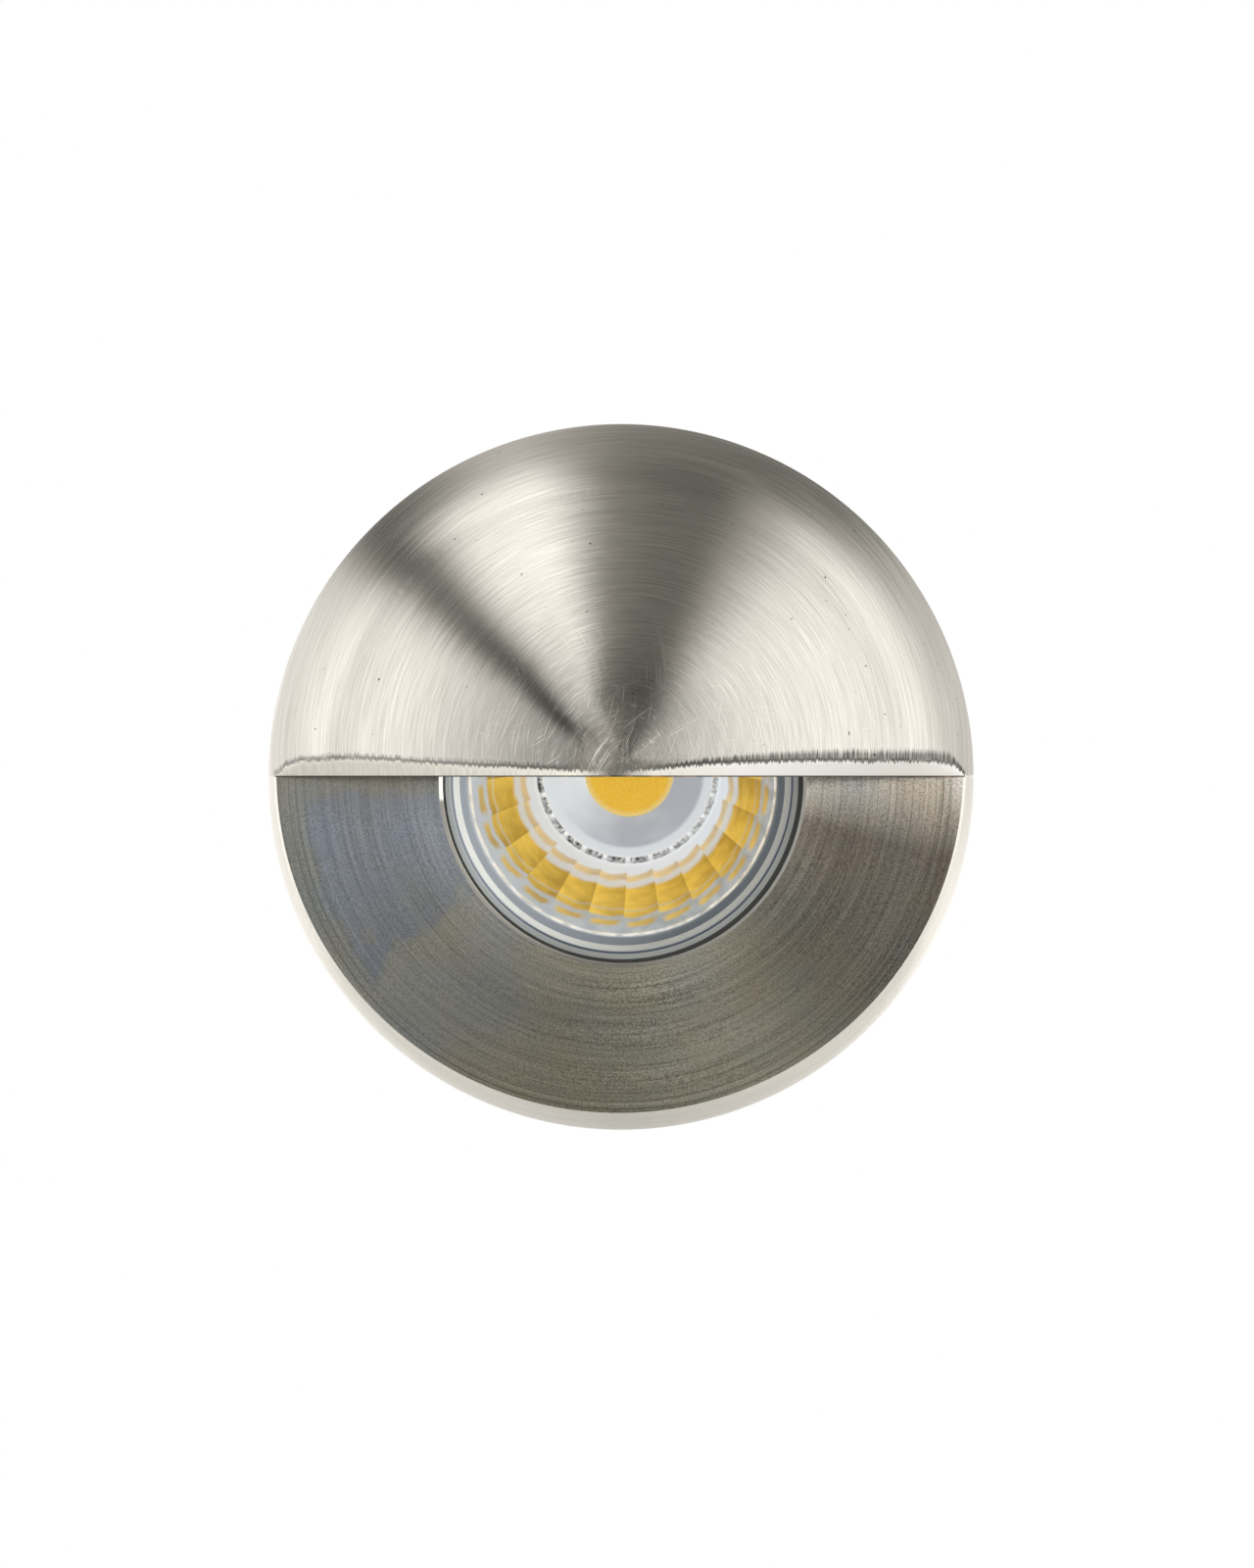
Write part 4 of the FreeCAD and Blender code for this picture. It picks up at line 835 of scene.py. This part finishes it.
# the lamp's rim is painted lit on its left, its groove is painted dark as shade, and it has a painted
# glow
lamp_rim_finish = new_finish("pale_rim")
tree = lamp_rim_finish.node_tree
x, y, _ = parts_of(tree, add_node(tree, "ShaderNodeTexCoord").outputs["Object"])
colour = mixed_colour(tree, gain(tree, x, 4 * mm, -21 * mm), (0.44, 0.43, 0.41), (0.98, 0.965, 0.94))
proud = gain(tree, y, 5.45 * mm, 5.25 * mm)
groove_shade = mixed_colour(tree, gain(tree, x, -8 * mm, -20 * mm), (0.07, 0.085, 0.12), (0.26, 0.28, 0.33))
colour = mixed_colour(tree, proud, groove_shade, colour)
add_node(tree, "ShaderNodeOutputMaterial", {0: painted_glow(tree, colour, 0.62, {"Roughness": 0.3})})

# the retaining ring is grey, painted lighter on its left as light and black outside a radius of 23.8 mm
# as shade in the gap under the face's lip, and it has a painted glow
ring_finish = new_finish("grey_ring")
tree = ring_finish.node_tree
place, distance, _ = centred(tree)
x = parts_of(tree, place)[0]
colour = mixed_colour(tree, gain(tree, x, -8 * mm, -20 * mm), (0.40, 0.40, 0.40), (0.56, 0.58, 0.60))
gap_shade = ramp(tree, maths(tree, "MULTIPLY_ADD", distance, 1 / mm, -23), [(0.80, 0.0), (0.92, 1.0)])
colour = mixed_colour(tree, gap_shade, colour, (0.02, 0.02, 0.02))
add_node(tree, "ShaderNodeOutputMaterial", {0: painted_glow(tree, colour, 0.42, {"Roughness": 0.4})})

# the phosphor is a grainy gel, paler towards its edge, with a painted glow
disc_finish = new_finish("phosphor_gel")
tree = disc_finish.node_tree
place, distance, _ = centred(tree, LEAN_X * mm, LEAN_Z * mm)
grains = gain(tree, speckle(tree, place, 4200, 1.0), 0.3, 0.7)
colour = mixed_colour(tree, grains, (0.80, 0.44, 0.02), (0.92, 0.55, 0.05))
edge = ramp_over(tree, distance, DISC_RADIUS * mm, [(0.86, 0.0), (1.0, 0.6)])
colour = mixed_colour(tree, edge, colour, (0.86, 0.72, 0.40))
add_node(tree, "ShaderNodeOutputMaterial", {0: painted_glow(tree, colour, 0.68, {"Roughness": 0.4})})

# the cup is smooth and bluish white, a little streaked, painted darker towards its lower right as shade,
# and it has a painted glow
cup_finish = new_finish("white_cup")
tree = cup_finish.node_tree
_, distance, outward = centred(tree, LEAN_X * mm, LEAN_Z * mm)
streaks = gain(tree, arcs(tree, distance, outward, 350, 1.6, 1.0), 0.3, 0.7)
out_x, _, out_z = parts_of(tree, outward)
painted_shading = gain(tree, maths(tree, "MULTIPLY_ADD", out_z, -0.8, out_x), -0.9, 0.9)
painted_shading = maths(tree, "MULTIPLY_ADD", about_zero(tree, streaks), 0.25, painted_shading, clamp=True)
colour = mixed_colour(tree, painted_shading, (0.86, 0.89, 0.97), (0.43, 0.455, 0.53))
outer = ramp_over(tree, distance, 11.7 * mm, [(0.86, 0.0), (0.90, 0.8)])
colour = mixed_colour(tree, outer, colour, (0.80, 0.83, 0.90))
cup_shader = painted_glow(tree, colour, 0.62, {"Roughness": 0.25, "Coat Weight": 0.5})
add_node(tree, "ShaderNodeOutputMaterial", {0: cup_shader})

for piece, node, slot, finish in (
        (ring_piece, "lamp_ring", "lamp_rim", ring_finish),
        (rim_piece, "lamp_bezel", "lamp_rim", lamp_rim_finish),
        (optic_piece, "lamp_lens", "clear_optic", optic_finish),
        (cup_piece, "led_cup", "white_reflector", cup_finish),
        (disc_piece, "led_chip", "phosphor", disc_finish)):
    piece.data.materials.append(finish)
    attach(piece, "light_body")
    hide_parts(node)


# The glass is clear and shows by its reflections only. Past about 42 degrees off its axis it
# reflects like a mirror, sooner than real glass, since the falloff counts at its back too.
glass_finish = new_finish("clear_glass")
tree = glass_finish.node_tree
glancing = add_node(tree, "ShaderNodeFresnel", {"IOR": 1.5}).outputs[0]
through = add_node(tree, "ShaderNodeBsdfTransparent", {0: (0.95, 0.965, 0.96, 1)}).outputs[0]
gloss = add_node(tree, "ShaderNodeBsdfGlossy", {"Color": (1, 1, 1, 1), "Roughness": 0.02}).outputs[0]
add_node(tree, "ShaderNodeOutputMaterial", {0: mixed_shader(tree, glancing, through, gloss)})


# Every other piece is the CAD solid itself, painted by its material slot. Each of these
# plain finishes has a fine grain in its colour and surface.
def plain_finish(name, colour, roughness, metallic, coat, grain):
    """A plain material; grain is (spots per metre, depth of colour change, bump in mm)."""
    finish = new_finish(name)
    tree = finish.node_tree
    spots, change, depth = grain
    noise = speckle(tree, add_node(tree, "ShaderNodeTexCoord").outputs["Object"], spots, 4.0)
    darker = tuple(part * (1 - change) for part in colour)
    shader = add_node(tree, "ShaderNodeBsdfPrincipled", {
        "Base Color": mixed_colour(tree, noise, darker, colour), "Roughness": roughness,
        "Metallic": metallic, "Coat Weight": coat, "Normal": dent(tree, noise, 0.5, depth * mm)})
    add_node(tree, "ShaderNodeOutputMaterial", {0: shader.outputs[0]})
    return finish


# slot: name, colour, roughness, metallic, coat, (spots per metre, change, bump in mm)
PLAIN_FINISHES = {
    "lamp_aluminium": ("cast_aluminium", (0.62, 0.63, 0.64), 0.5, 1.0, 0.0, (1500, 0.15, 0.05)),
    "body_aluminium": ("turned_aluminium", (0.66, 0.67, 0.68), 0.38, 1.0, 0.0, (900, 0.1, 0.02)),
    "circuit_board": ("solder_mask", (0.03, 0.16, 0.07), 0.35, 0.0, 0.3, (2500, 0.2, 0.01)),
    "lamp_foot_plastic": ("white_plastic", (0.80, 0.79, 0.76), 0.4, 0.0, 0.0, (1200, 0.05, 0.01)),
    "ceramic": ("glazed_ceramic", (0.85, 0.83, 0.78), 0.3, 0.0, 0.4, (700, 0.08, 0.02)),
    "brass": ("brass", (0.80, 0.58, 0.25), 0.3, 1.0, 0.0, (1800, 0.1, 0.01)),
    "stainless_screws": ("screw_steel", (0.58, 0.57, 0.55), 0.3, 1.0, 0.0, (1800, 0.1, 0.01)),
    "zinc_plate": ("zinc_plating", (0.63, 0.65, 0.66), 0.4, 1.0, 0.0, (400, 0.2, 0.01)),
    "lead_sleeve": ("glass_fibre_sleeve", (0.78, 0.76, 0.70), 0.8, 0.0, 0.0, (3000, 0.25, 0.05)),
    "terminal_plastic": ("nylon", (0.82, 0.81, 0.77), 0.45, 0.0, 0.0, (1500, 0.06, 0.01)),
    "black_rubber": ("black_rubber", (0.022, 0.022, 0.023), 0.6, 0.0, 0.0, (2500, 0.3, 0.02)),
    "silicone": ("grey_silicone", (0.30, 0.31, 0.32), 0.5, 0.0, 0.0, (1500, 0.1, 0.02)),
    "gland_plastic": ("black_nylon", (0.03, 0.03, 0.032), 0.4, 0.0, 0.0, (1800, 0.3, 0.02)),
    "sleeve_plastic": ("grey_tube", (0.16, 0.165, 0.17), 0.5, 0.0, 0.0, (700, 0.15, 0.02)),
}
FINISHES = {slot: plain_finish(*values) for slot, values in PLAIN_FINISHES.items()}
FINISHES["toughened_glass"] = glass_finish
FINISHES["brushed_stainless"] = back_finish
FINISHES["clear_optic"] = optic_finish
for node in nodes.values():
    slot = node.data.materials[0].name.split(".")[0]
    if slot in FINISHES:
        node.data.materials[0] = FINISHES[slot]
